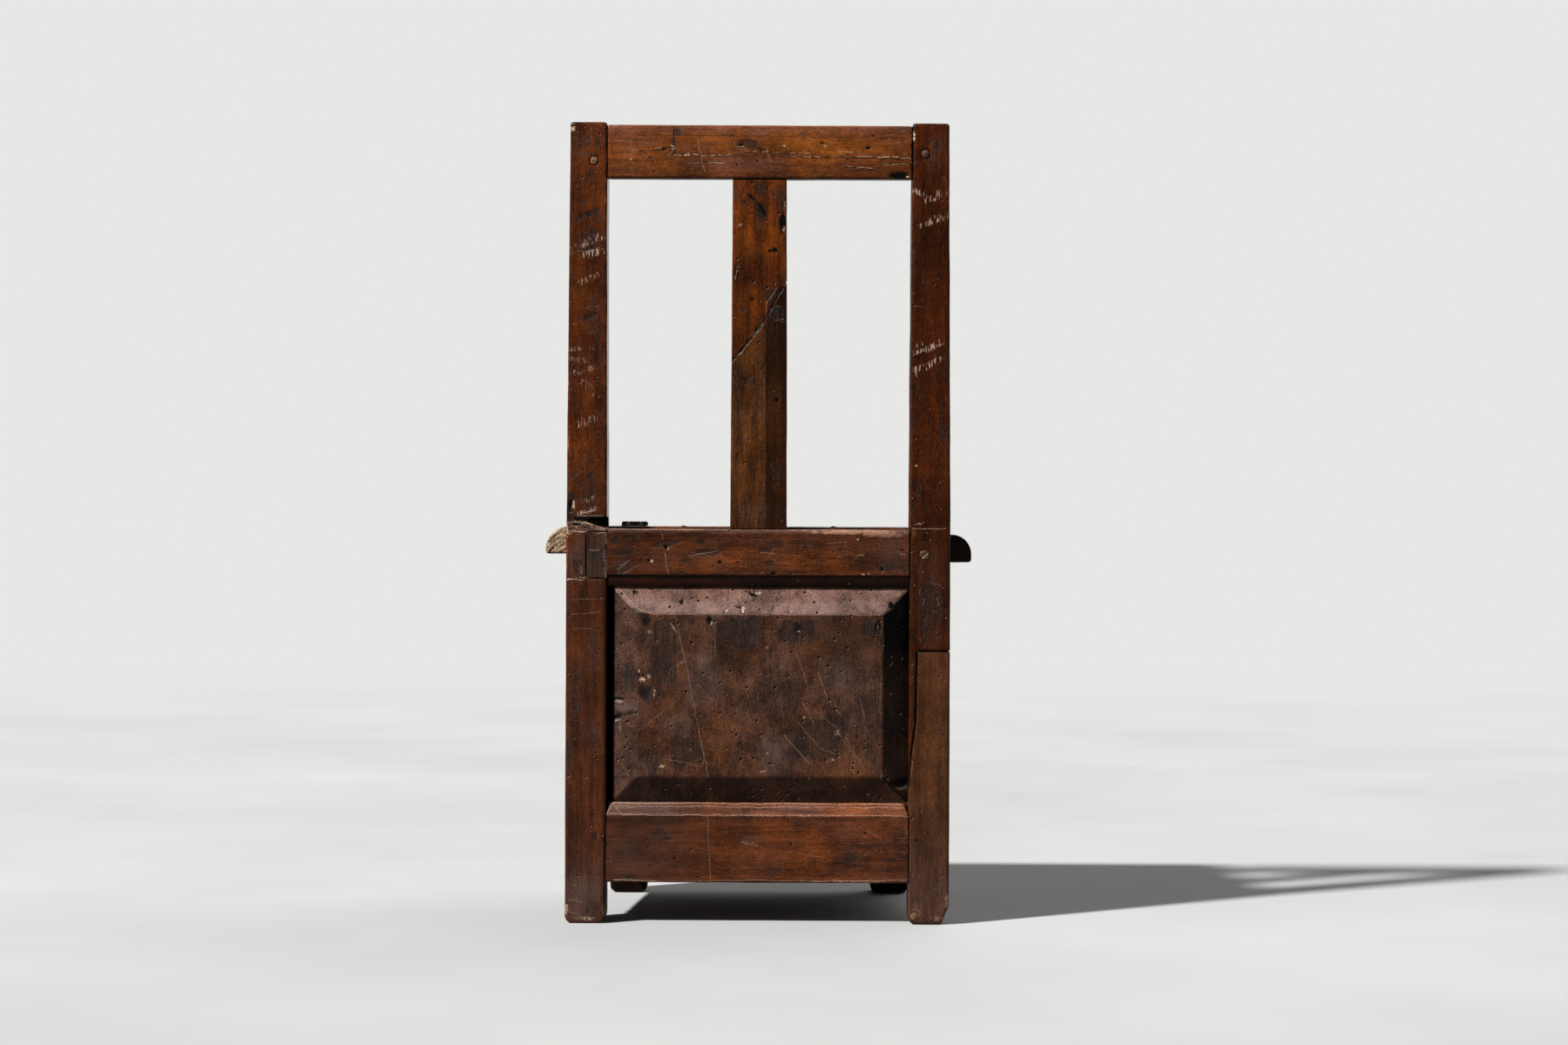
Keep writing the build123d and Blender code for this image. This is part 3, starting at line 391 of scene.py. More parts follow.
@dataclass(frozen=True)
class Wood:
    """Waxed old wood.

    Args:
        name: Name of the material.
        light: Colour of the bare figure.
        dark: Colour of the darker figure.
        grain: Way of the fibres.
        warm: Colour where the polish is kept.
        dull: Colour of grey bloom on the polish, and of painted grey sheen.
        mottle: 0 for straight streaks, 1 for a cloudy figure.
        bloom: Share of the surface under grey bloom.
        stains: Share of the surface under old stains.
        worm: Radius of worm holes in millimetres, 0 for none.
        gloss: Roughness of clean polish.
        scratches: Light lines.
        cracks: Black lines.
        fillers: Lines of cream filler.
        rubs: Bands of short light strokes.
    """

    name: str
    light: Colour
    dark: Colour
    grain: Grain
    warm: Colour = linear(96, 52, 22)
    dull: Colour = linear(80, 58, 50)
    mottle: float = 0.25
    bloom: float = 0.12
    stains: float = 0.35
    worm: float = 1.3
    gloss: float = 0.3
    scratches: tuple[Line, ...] = ()
    cracks: tuple[Line, ...] = ()
    fillers: tuple[Line, ...] = ()
    rubs: tuple[Line, ...] = ()

    @cache
    def material(self) -> bpy.types.Material:
        """Build the node material, once for each finish."""
        graph = Graph(bpy.data.materials.new(self.name))
        noises = Noises(graph, self.grain)
        fine, torn, chips = noises.fine, noises.torn, noises.chips
        soaked = (graph.painted("dark") * 1.5 + torn * 0.65 + chips * 0.35 - 0.85).ramp(0.0, 0.5)
        spots = noises.patches.ramp(0.72 - 0.3 * self.stains, 0.82 - 0.2 * self.stains) * (0.4 + fine * 0.6)
        stain = (soaked + spots).at_most(1.0)
        worn = (graph.painted("worn") + torn * 0.5 + chips * 0.5 - 0.95).ramp(0.0, 0.45)
        colour = self.soiled(graph, noises, self.figure(graph, noises), stain, worn)
        height = noises.streaks * 0.6 + fine * 0.55 - soaked * torn * 0.7
        colour, height = self.lined(graph, noises, colour, height)
        if self.worm:
            colour, height = self.wormed(graph, noises, colour, height)
        rough = (self.gloss + stain * 0.22 + worn * 0.2 + fine * 0.2 - 0.1).at_most(0.95)
        normal = graph.bump(height, 0.55)
        shine = {"IOR": 1.5, "Specular IOR Level": 0.17}
        return graph.surface({**shine, "Base Color": colour, "Roughness": rough, "Normal": normal})

    def figure(self, graph: Graph, noises: Noises) -> Flow:
        """Colour of the wood and its polish before dirt and wear."""
        place, along, fine, patches = noises.place, noises.along, noises.fine, noises.patches
        drift = graph.noise(along, 24.0, 4.0, 0.6).ramp(0.36, 0.64)
        bands = graph.noise(along, 95.0, 3.0, 0.6).ramp(0.34, 0.66)
        pores = graph.noise(along, 1300.0, 2.0, 0.5).ramp(0.34, 0.62)
        clouds = graph.noise(place, 12.0, 4.0, 0.6)
        specks = graph.noise(place, 900.0, 2.0, 0.6)
        broad = graph.noise(place, 17.0, 5.0, 0.7).ramp(0.32, 0.68)
        straight = drift * 0.4 + bands * 0.3 + noises.streaks.ramp(0.32, 0.68) * 0.3
        cloudy = patches.ramp(0.36, 0.64) * 0.6 + fine.ramp(0.32, 0.68) * 0.4
        figure = (straight * (1 - self.mottle) + cloudy * self.mottle) * 1.5 - 0.25
        figure = figure.at_least(0.0).at_most(1.0)
        colour = graph.mix(figure, self.dark, self.light)
        kept = graph.painted("warm") * (0.3 + patches * 0.9) + clouds.ramp(0.5, 0.62) * 0.4
        colour = graph.mix(kept.at_most(1.0), colour, graph.shade(self.warm, 0.5 + figure))
        grey = graph.painted("dull") * (0.3 + patches * 0.9) + clouds.ramp(0.48, 0.38) * self.bloom
        grey = (grey * (0.6 + fine * 0.7)).at_most(1.0)
        colour = graph.mix(grey, colour, graph.shade(self.dull, 0.5 + figure))
        value = 0.1 + pores * 0.45 + fine.ramp(0.3, 0.7) * 0.55 + broad * 0.6
        clear = 1.0 - graph.painted("dull").at_most(1.0) * 0.6
        colour = graph.shade(colour, value * clear + (1.0 - clear) * 0.9)
        colour = graph.mix(specks.ramp(0.64, 0.76) * clear * 0.45, colour, RUBBED_AND_RIM_LIGHT)
        return graph.mix(specks.ramp(0.38, 0.26) * clear * 0.7, colour, GRIME)

    def soiled(self, graph: Graph, noises: Noises, colour: Flow, stain: Flow, worn: Flow) -> Flow:
        """Colour under stains, then rubbed, hollowed, chipped to pale wood and shaded."""
        flecks = graph.painted("dark").ramp(0.5, 0.9) * noises.chips.ramp(0.86, 1.0)
        pale = (graph.painted("pale") + noises.chips - 1.0).ramp(0.0, 0.3)
        layers = (
            (stain * (0.5 + noises.torn * 0.45), GRIME),
            (flecks * 0.35, RUBBED_AND_RIM_LIGHT),
            (worn * 0.7, RUBBED_AND_RIM_LIGHT),
            (graph.painted("deep").ramp(0.12, 0.75), HOLLOW),
            (pale, BARE),
        )
        for share, shade in layers:
            colour = graph.mix(share, colour, shade)
        return graph.shade(colour, graph.painted("tone"))

    def lined(self, graph: Graph, noises: Noises, colour: Flow, height: Flow) -> tuple[Flow, Flow]:
        """Colour and relief with the finish's own lines on the rear face."""
        flat = graph.vector("MULTIPLY", self.bent(graph, noises.place), (1.0, 0.0, 1.0))
        broken, flaked = noises.fine.ramp(0.33, 0.52), noises.chips.ramp(0.1, 0.6)
        upright = graph.vector("MULTIPLY", noises.place, (1.0, 1.0, 0.14))
        strokes = graph.noise(upright, 560.0, 1.0).ramp(0.53, 0.62) * noises.fine.ramp(0.3, 0.5)
        kinds = (
            (self.scratches, SCRATCHED, -0.5, broken),
            (self.fillers, BARE, -0.3, flaked),
            (self.cracks, HOLLOW, -2.0, broken),
            (self.rubs, SCRATCHED, 0.0, strokes),
        )
        for group, shade, relief, gaps in kinds:
            if group:
                mask = reduce(Flow.at_least, (line.mask(graph, flat) for line in group))
                mask = mask * graph.painted("back") * gaps
                colour = graph.mix(mask, colour, shade)
                height = height + mask * relief
        return colour, height

    def bent(self, graph: Graph, place: Flow) -> Flow:
        """Place with a slight waver, so that no line is ruled."""
        waver = graph.node("ShaderNodeTexNoise", {}, {"Vector": place, "Scale": 75.0, "Detail": 2.0}, "Color")
        waver = graph.vector("SUBTRACT", waver, (0.5, 0.5, 0.5))
        return graph.vector("ADD", place, graph.shade(waver, 4 * MM))

    def wormed(self, graph: Graph, noises: Noises, colour: Flow, height: Flow) -> tuple[Flow, Flow]:
        """Colour and relief with worm holes in loose flocks, each with a lit rim below it."""
        def holes(place: Flow) -> Flow:
            cell = graph.node("ShaderNodeTexVoronoi", {}, {"Vector": place, "Scale": 75.0})
            return cell.ramp(self.worm * 0.08, self.worm * 0.065) * noises.patches.ramp(0.42, 0.46)

        # Painted highlight: a pale rim below each hole, as if lit from above.
        lit_rim_place = graph.vector("ADD", noises.place, (0.6 * MM, 0.0, 0.9 * MM))
        colour = graph.mix(holes(lit_rim_place) * 0.5, colour, RUBBED_AND_RIM_LIGHT)
        hole = holes(noises.place)
        return graph.mix(hole, colour, HOLLOW), height - hole * 3.0


@dataclass(frozen=True)
class Iron:
    """Forged iron, rusted in patches and worn bright on its high places."""

    name: str
    metal: Colour = linear(74, 68, 66)
    rust: Colour = linear(62, 38, 26)
    rusty: float = 0.45

    def material(self) -> bpy.types.Material:
        """Build the node material."""
        graph = Graph(bpy.data.materials.new(self.name))
        place = graph.place()
        patches = graph.noise(place, 190.0, 4.0, 0.65)
        fine = graph.noise(place, 900.0, 3.0, 0.6)
        rust = patches.ramp(0.66 - 0.3 * self.rusty, 0.74 - 0.2 * self.rusty)
        colour = graph.mix(rust, self.metal, self.rust)
        colour = graph.shade(colour, 0.6 + fine * 0.7)
        height = patches * 0.5 + fine * 0.5
        return graph.surface({
            "Base Color": colour,
            "Metallic": 0.9 - rust * 0.85,
            "Roughness": 0.38 + rust * 0.4 + fine * 0.1,
            "Normal": graph.bump(height, 0.4),
        })


# ---------------------------------------------------------------------------
# Worn surfaces: a piece's mesh as arrays
# ---------------------------------------------------------------------------

MARKS_PER_SQUARE_METRE = 420

# In millimetres: how deep and how wide wear goes.
DEEPEST_DENT = 0.6
JOINT_DIRT = 2.1
CHIP_DEPTH = 0.9
PLANED_HEIGHT = 0.5
PLANED_SPACING = 45.0


def lattice(corner: np.ndarray, seed: int) -> np.ndarray:
    """Repeatable value between -1 and 1 at each whole-numbered corner, by mixing the bits."""
    mask = 0xFFFFFFFF
    mixed = (corner[:, 0] * 374761393 + corner[:, 1] * 668265263) & mask
    mixed = (mixed + corner[:, 2] * 1440662683 + seed * 1274126177) & mask
    mixed = ((mixed ^ (mixed >> 13)) * 1274126177) & mask
    mixed = ((mixed ^ (mixed >> 15)) * 2246822519) & mask
    return ((mixed ^ (mixed >> 16)) & 0xFFFFFF) / 0x7FFFFF - 1


def rough_noise(points: np.ndarray, size: float, seed: int = 0, octaves: int = 3) -> np.ndarray:
    """Smooth noise between about -1 and 1.

    Args:
        points: Places, one row each.
        size: Distance between neighbouring swells, in metres.
        seed: Which noise.
        octaves: How many finer layers are added.

    Returns:
        One value for each point.
    """
    total = np.zeros(len(points))
    gain = 1.0
    for layer in range(octaves):
        spot = points / size * 2 ** layer + 100.0
        low = np.floor(spot).astype(np.int64)
        share = spot - low
        share = share * share * (3 - 2 * share)
        value = np.zeros(len(points))
        for corner in np.ndindex(2, 2, 2):
            step = np.array(corner)
            weight = np.prod(np.where(step, share, 1 - share), axis=1)
            value += weight * lattice(low + step, seed + layer)
        total += gain * value
        gain *= 0.5
    return total / (2 - gain)


def rise(values: np.ndarray, low: float, high: float) -> np.ndarray:
    """0 at ``low`` to 1 at ``high``, eased, either way round."""
    share = np.clip((values - low) / (high - low), 0, 1)
    return share * share * (3 - 2 * share)


def within(values: np.ndarray, low: float, high: float, ease: float) -> np.ndarray:
    """1 between two limits, easing down to 0 at the limits themselves."""
    return rise(values, low, low + ease) * rise(values, high, high - ease)


class WornMesh:
    """A piece's surface, rebuilt from its node in even small faces."""

    def __init__(self, node: str, voxel: float) -> None:
        """Copy the node, merge it and remesh the copy.

        Args:
            node: Name of the node.
            voxel: Size of the new faces, in millimetres.
        """
        self.node = node
        self.voxel = voxel * MM
        rough = merged_copy(node)
        mesh = bpy.data.meshes.new(node + "_worn")
        rough.to_mesh(mesh)
        rough.free()
        shell = shown(node + "_shell", mesh)
        remesh = shell.modifiers.new("even", "REMESH")
        remesh.mode = "VOXEL"
        remesh.voxel_size = self.voxel
        self.mesh = result_of(shell)
        self.mesh.name = node + "_worn"
        bpy.data.meshes.remove(mesh)
        self.points = column(self.mesh.vertices, "co", 3)
        self.edges = column(self.mesh.edges, "vertices", 2, np.int64)
        count = len(self.points)
        self.degree = np.bincount(self.edges.ravel(), minlength=count)[:, None]
        self.paint = {stain.value: np.zeros(count) for stain in Stain}
        self.paint["tone"] = np.ones(count)
        self.refresh()
        self.ragged = 0.42 * rough_noise(self.points, 7 * MM, seed=7)

    def refresh(self) -> None:
        """Send the points to Blender and read the normals back."""
        self.mesh.vertices.foreach_set("co", self.points.ravel())
        self.mesh.update()
        self.normals = column(self.mesh.vertex_normals, "vector", 3, np.float32).astype(float)

    @property
    def across(self) -> np.ndarray:
        """Each point's place across the chair, in millimetres."""
        return self.points[:, 0] / MM

    @property
    def height(self) -> np.ndarray:
        """Each point's height above the floor, in millimetres."""
        return self.points[:, 2] / MM

    def mean(self, values: np.ndarray) -> np.ndarray:
        """Mean of each point's neighbours."""
        first, second = self.edges.T
        count = len(self.points)
        sums = [
            np.bincount(first, row[second], count) + np.bincount(second, row[first], count)
            for row in values.T
        ]
        return np.stack(sums, axis=1) / self.degree

    def soften(self, rounds: int) -> None:
        """Wear the arrises by smoothing."""
        for _ in range(rounds):
            self.points += 0.5 * (self.mean(self.points) - self.points)
        self.refresh()

    def push(self, amount: np.ndarray) -> None:
        """Move the surface outwards by an amount in metres, or inwards."""
        self.points += self.normals * amount[:, None]
        self.refresh()

    def swell(self, height: float, size: float, seed: int) -> None:
        """Uneven hand-planed faces: swells of a height and size in millimetres."""
        self.push(height * MM * rough_noise(self.points, size * MM, seed))

    def near(self, mark: Mark) -> np.ndarray:
        """How far inside a mark each point is: 1 at the centre, 0 beyond its ragged edge."""
        across, up = self.across - mark.x, self.height - mark.z
        angle = radians(mark.turn)
        one = (across * cos(angle) + up * sin(angle)) / mark.width
        two = (up * cos(angle) - across * sin(angle)) / mark.height
        return rise(np.sqrt(one * one + two * two) + self.ragged, 1.3, 0.4)

    def lay(self, places: Iterable[Mark]) -> None:
        """Stain and sink the rear face at the given places."""
        back = rise(self.normals[:, 1], 0.0, 0.6)
        sunk = np.zeros(len(self.points))
        for mark in places:
            inside = self.near(mark) * back
            self.paint[mark.stain.value] += inside * mark.strength
            sunk += inside * mark.depth
        self.push(-sunk * MM)

    def weather(self, seed: int, grain: Grain) -> None:
        """Scatter small stains, rubs and dents over every face, longer along the fibres."""
        chance = np.random.default_rng(seed)
        count = int(len(self.points) * self.voxel ** 2 * MARKS_PER_SQUARE_METRE)
        stretch = np.where(np.array(grain.value) < 1, 0.4, 1.0)
        kinds = (Stain.DARK, Stain.DARK, Stain.DARK, Stain.WORN, Stain.DULL, Stain.WARM)
        order = np.argsort(self.points[:, 2])
        heights = self.points[order, 2]
        sunk = np.zeros(len(self.points))
        for _ in range(count):
            centre = self.points[chance.integers(len(self.points))]
            size = chance.uniform(1.5, 4.0) * chance.choice((1.0, 1.0, 2.5, 4.0)) * MM
            stain = kinds[chance.integers(len(kinds))]
            strength, dent = chance.uniform(0.2, 0.65), chance.uniform(-0.2, 0.4)
            size *= 0.4 if stain is Stain.WORN else 1.0
            strength *= 0.7 if stain is Stain.DARK else 1.0
            reach = 4 * size
            low, high = np.searchsorted(heights, (centre[2] - reach, centre[2] + reach))
            some = order[low:high]
            away = np.linalg.norm((self.points[some] - centre) * stretch, axis=1) / size
            inside = rise(away + self.ragged[some], 1.4, 0.1)
            self.paint[stain.value][some] += inside * strength
            sunk[some] += inside * dent
        self.push(-np.clip(sunk, 0, DEEPEST_DENT) * MM)

    def chip_arrises(self, depth: float) -> None:
        """Knock small uneven chips out of the arrises, ``depth`` millimetres deep."""
        broken = rise(rough_noise(self.points, 13 * MM, seed=5), 0.22, 0.6)
        self.push(-depth * MM * broken * rise(self.bend(), 0.03, 0.14))

    def bend(self) -> np.ndarray:
        """How sharply the surface turns: above 0 on arrises and below in hollows."""
        bend = np.einsum("ij,ij->i", self.points - self.mean(self.points), self.normals) / self.voxel
        for _ in range(2):
            bend = 0.5 * bend + 0.5 * self.mean(bend[:, None])[:, 0]
        return bend

    def mark_joints(self) -> None:
        """Keep wear off the edges that meet another piece, and blacken them, but not round what is let in."""
        reach = JOINT_DIRT * MM
        low, high = self.points.min(0) - reach, self.points.max(0) + reach
        corners, faces = [], []
        for name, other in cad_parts.items():
            box = np.array(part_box(name))
            let_in = name.endswith(("pegs", "screw", "patch"))
            if let_in or name == self.node or np.any(box[0] > high) or np.any(box[1] < low):
                continue
            faces += [tuple(len(corners) + v for v in face.vertices) for face in other.data.polygons]
            corners += [Vector(spot) for spot in column(other.data.vertices, "co", 3)]
        tree = BVHTree.FromPolygons(corners, faces)
        edge = (self.paint["worn"] > 0.02) | (self.paint["deep"] > 0.02)
        for number in np.flatnonzero(edge):
            gap = tree.find_nearest(self.points[number], reach)[3]
            if gap is not None:
                close = 1 - gap / reach
                self.paint["worn"][number] *= 1 - min(1.0, 2 * close)
                self.paint["deep"][number] += 0.85 * close

    def shade(self, axis: int, *steps: Span) -> None:
        """Lighten or darken along an axis: places in millimetres, each with its factor."""
        places, factors = zip(*steps)
        self.paint["tone"] *= np.interp(self.points[:, axis] / MM, places, factors)

    def facing(self, direction: tuple[float, float, float]) -> np.ndarray:
        """1 where the surface faces a direction, 0 where it faces away."""
        return np.clip(self.normals @ np.array(direction, dtype=float), 0, 1)

    def mark_wear(self) -> None:
        """Paint rubbed arrises and darkened hollows from the surface's bend."""
        bend = self.bend()
        uneven = 0.45 + 0.9 * rough_noise(self.points, 14 * MM, seed=3)
        self.paint["worn"] += np.clip(rise(bend, 0.02, 0.16) * uneven * 0.8, 0, 1)
        self.paint["deep"] += rise(-bend, 0.02, 0.14) * 0.8

    def finish(self, stuff: str, body: str, slot: str, material: bpy.types.Material) -> bpy.types.Object:
        """Make the object that stands for the node.

        Args:
            stuff: Last word of the new piece's name.
            body: Body that it rides on.
            slot: Record's material slot; not used.
            material: Its finish.

        Returns:
            The finished object.
        """
        self.points = np.clip(self.points, *np.array(CAD_BOX))
        self.refresh()
        self.paint["back"] = rise(self.normals[:, 1], 0.1, 0.5)
        paint_points(self.mesh, {key: np.clip(values, 0, 2) for key, values in self.paint.items()})
        self.mesh.shade_smooth()
        self.mesh.materials.clear()
        self.mesh.materials.append(material)
        log.info("%s: %d points", self.node, len(self.points))
        return stand_in(shown(f"{self.node}_{stuff}", self.mesh), self.node, body)


def worn_shape(node: str, wood: Wood, voxel: float, soft: int, places: Iterable[Mark] = ()) -> WornMesh:
    """A piece's surface with worn arrises, planed faces, dirty joints and its own marks.

    Args:
        node: Name of the node it stands for.
        wood: Its finish.
        voxel: Size of its faces in millimetres.
        soft: Rounds of wear on the arrises.
        places: Marks on its rear face.

    Returns:
        The surface, not yet an object.
    """
    shape = WornMesh(node, voxel)
    shape.soften(soft)
    shape.swell(PLANED_HEIGHT, PLANED_SPACING, len(node))
    shape.mark_wear()
    shape.mark_joints()
    shape.chip_arrises(CHIP_DEPTH)
    shape.weather(len(node) + int(voxel * 100), wood.grain)
    shape.lay(places)
    return shape


def worn_piece(node: str, wood: Wood, voxel: float, body: str, slot: str) -> bpy.types.Object:
    """A piece with nothing but even wear, finished; its arguments are those of the shape and the finish."""
    return worn_shape(node, wood, voxel, soft=2).finish("wood", body, slot, wood.material())


# ---------------------------------------------------------------------------
# The room: floor, light and camera
# ---------------------------------------------------------------------------

@dataclass
class Studio:
    """Pale floor, soft light and the camera behind the chair."""

    floor_radius: float = 14.0
    fade_start: float = 2.6
    fade_end: float = 7.0
    shown: float = 0.72
    pale: Colour = (0.80, 0.80, 0.79)
    bounce: Colour = (0.16, 0.155, 0.15)
    fill: float = 0.13
    glossy_fill: float = 0.1
    sun_strength: float = 5.9
    sun_spread: float = 4.0
    towards_sun: Colour = (0.618, 0.441, 0.653)
    front_strength: float = 1.5
    front_spread: float = 80.0
    towards_front: Colour = (-0.45, -0.75, 0.42)
    lens: float = 73.0
    camera_place: tuple[float, float, float] = (-0.0319, 4.1405, 0.5106)
    camera_pitch: float = -0.126
    camera_roll: float = 0.26

    def build(self) -> None:
        """Make all of it."""
        self.floor()
        self.world()
        self.light()
        self.camera()

    def floor(self) -> None:
        """Round floor that fades into the background far away."""
        mesh = bpy.data.meshes.new("floor")
        ring = bmesh.new()
        bmesh.ops.create_circle(ring, cap_ends=True, segments=96, radius=self.floor_radius)
        ring.to_mesh(mesh)
        ring.free()
        graph = Graph(bpy.data.materials.new("floor_paint"))
        place = graph.place()
        clouds = graph.noise(place, 1.3, 4.0)
        seen = graph.node("ShaderNodeLightPath", {}, {}, "Is Camera Ray")
        colour = graph.mix(clouds, tuple(self.shown * c for c in self.pale), self.pale)
        colour = graph.mix(seen, self.bounce, graph.shade(colour, seen * self.shown))
        paint = graph.node("ShaderNodeBsdfDiffuse", {}, {"Color": colour})
        glow = graph.node("ShaderNodeEmission", {}, {"Color": (*self.pale, 1.0), "Strength": 1.0})
        far = graph.node("ShaderNodeVectorMath", {"operation": "LENGTH"}, {0: place}, "Value")
        share = far.ramp(self.fade_start, self.fade_end) * seen
        graph.close(graph.node("ShaderNodeMixShader", {}, {0: share, 1: paint, 2: glow}))
        mesh.materials.append(graph.owner)
        floor = shown("floor", mesh)

    def world(self) -> None:
        """Soft fill from all round, and a pale background to look at."""
        world = bpy.data.worlds.new("room")
        bpy.context.scene.world = world
        graph = Graph(world)

        def ray(kind: str) -> Flow:
            return graph.node("ShaderNodeLightPath", {}, {}, kind)

        seen = ray("Is Camera Ray").at_least(ray("Is Transmission Ray"))
        strength = (ray("Is Glossy Ray") * (self.glossy_fill - self.fill) + self.fill).at_least(seen)
        sockets = {"Color": (*self.pale, 1.0), "Strength": strength}
        graph.close(graph.node("ShaderNodeBackground", {}, sockets), "ShaderNodeOutputWorld")

    def light(self) -> None:
        """A key light high behind the chair's left side, and a weak broad one before it."""
        key = (self.sun_strength, self.sun_spread, self.towards_sun)
        front = (self.front_strength, self.front_spread, self.towards_front)
        for name, (strength, spread, way) in {"key": key, "front": front}.items():
            lamp = bpy.data.lights.new(name, "SUN")
            lamp.energy = strength
            lamp.angle = radians(spread)
            shown(name, lamp).rotation_euler = Vector(way).to_track_quat("Z", "Y").to_euler()

    def camera(self) -> None:
        """Camera that looks at the chair's back."""
        lens = bpy.data.cameras.new("camera")
        lens.lens = self.lens
        lens.sensor_width = 36.0
        eye = shown("camera", lens)
        turn = Matrix.Rotation(pi, 4, "Z") @ Matrix.Rotation(radians(90 + self.camera_pitch), 4, "X")
        roll = Matrix.Rotation(radians(self.camera_roll), 4, "Z")
        eye.matrix_world = Matrix.Translation(self.camera_place) @ turn @ roll
        bpy.context.scene.camera = eye
        bpy.context.scene.view_settings.view_transform = "Standard"


# ---------------------------------------------------------------------------
# Repeated fastenings, made by Geometry Nodes
# ---------------------------------------------------------------------------

INSIDE = Vector((0.0, 0.0, 0.25))  # a place inside the box, away from which most heads point
WHOLE_TURN = 6.28  # radians


class Head(Enum):
    """What shows of a driven fastening."""

    PEG = "riven peg"
    NAIL = "forged nail"


@dataclass(frozen=True)
class Spot:
    """One solid of a node of fastenings.

    Args:
        head: Middle of the end that shows.
        way: Unit vector out of that end.
        radius: Radius of the head.
        length: Whole length.
    """

    head: Vector
    way: Vector
    radius: float
    length: float


def islands(solid: bmesh.types.BMesh) -> Iterator[np.ndarray]:
    """The corners of each separate part of a mesh."""
    left = set(solid.verts)
    while left:
        group = {left.pop()}
        edge = list(group)
        while edge:
            near = {vert for link in edge.pop().link_edges for vert in link.verts} - group
            group |= near
            edge += near
        left -= group
        yield np.array([vert.co for vert in group])


def spot_of(points: np.ndarray) -> Spot:
    """A fastening's place from its corners, with the wider end, or else the outer one, as its head."""
    middle = (points.min(0) + points.max(0)) / 2
    axis = np.linalg.svd(points - points.mean(0), full_matrices=False)[2][0]
    along = (points - middle) @ axis
    across = np.linalg.norm(points - middle - np.outer(along, axis), axis=1)
    rim = 0.8 * MM
    ends = (across[along > along.max() - rim].max(), across[along < along.min() + rim].max())
    outer = (Vector(middle) - INSIDE).dot(Vector(axis)) > 0
    wider = 1.1
    upper = ends[0] > ends[1] * wider or (outer and ends[1] < ends[0] * wider)
    way = Vector(axis if upper else -axis)
    length = along.max() - along.min()
    return Spot(Vector(middle) + way * length / 2, way, max(ends), length)


def spots_of(node: str) -> list[Spot]:
    """The separate solids of a node as spots, always in the same order."""
    solid = merged_copy(node)
    spots = [spot_of(points) for points in islands(solid)]
    solid.free()
    return sorted(spots, key=lambda spot: tuple(round(value, 4) for value in spot.head))


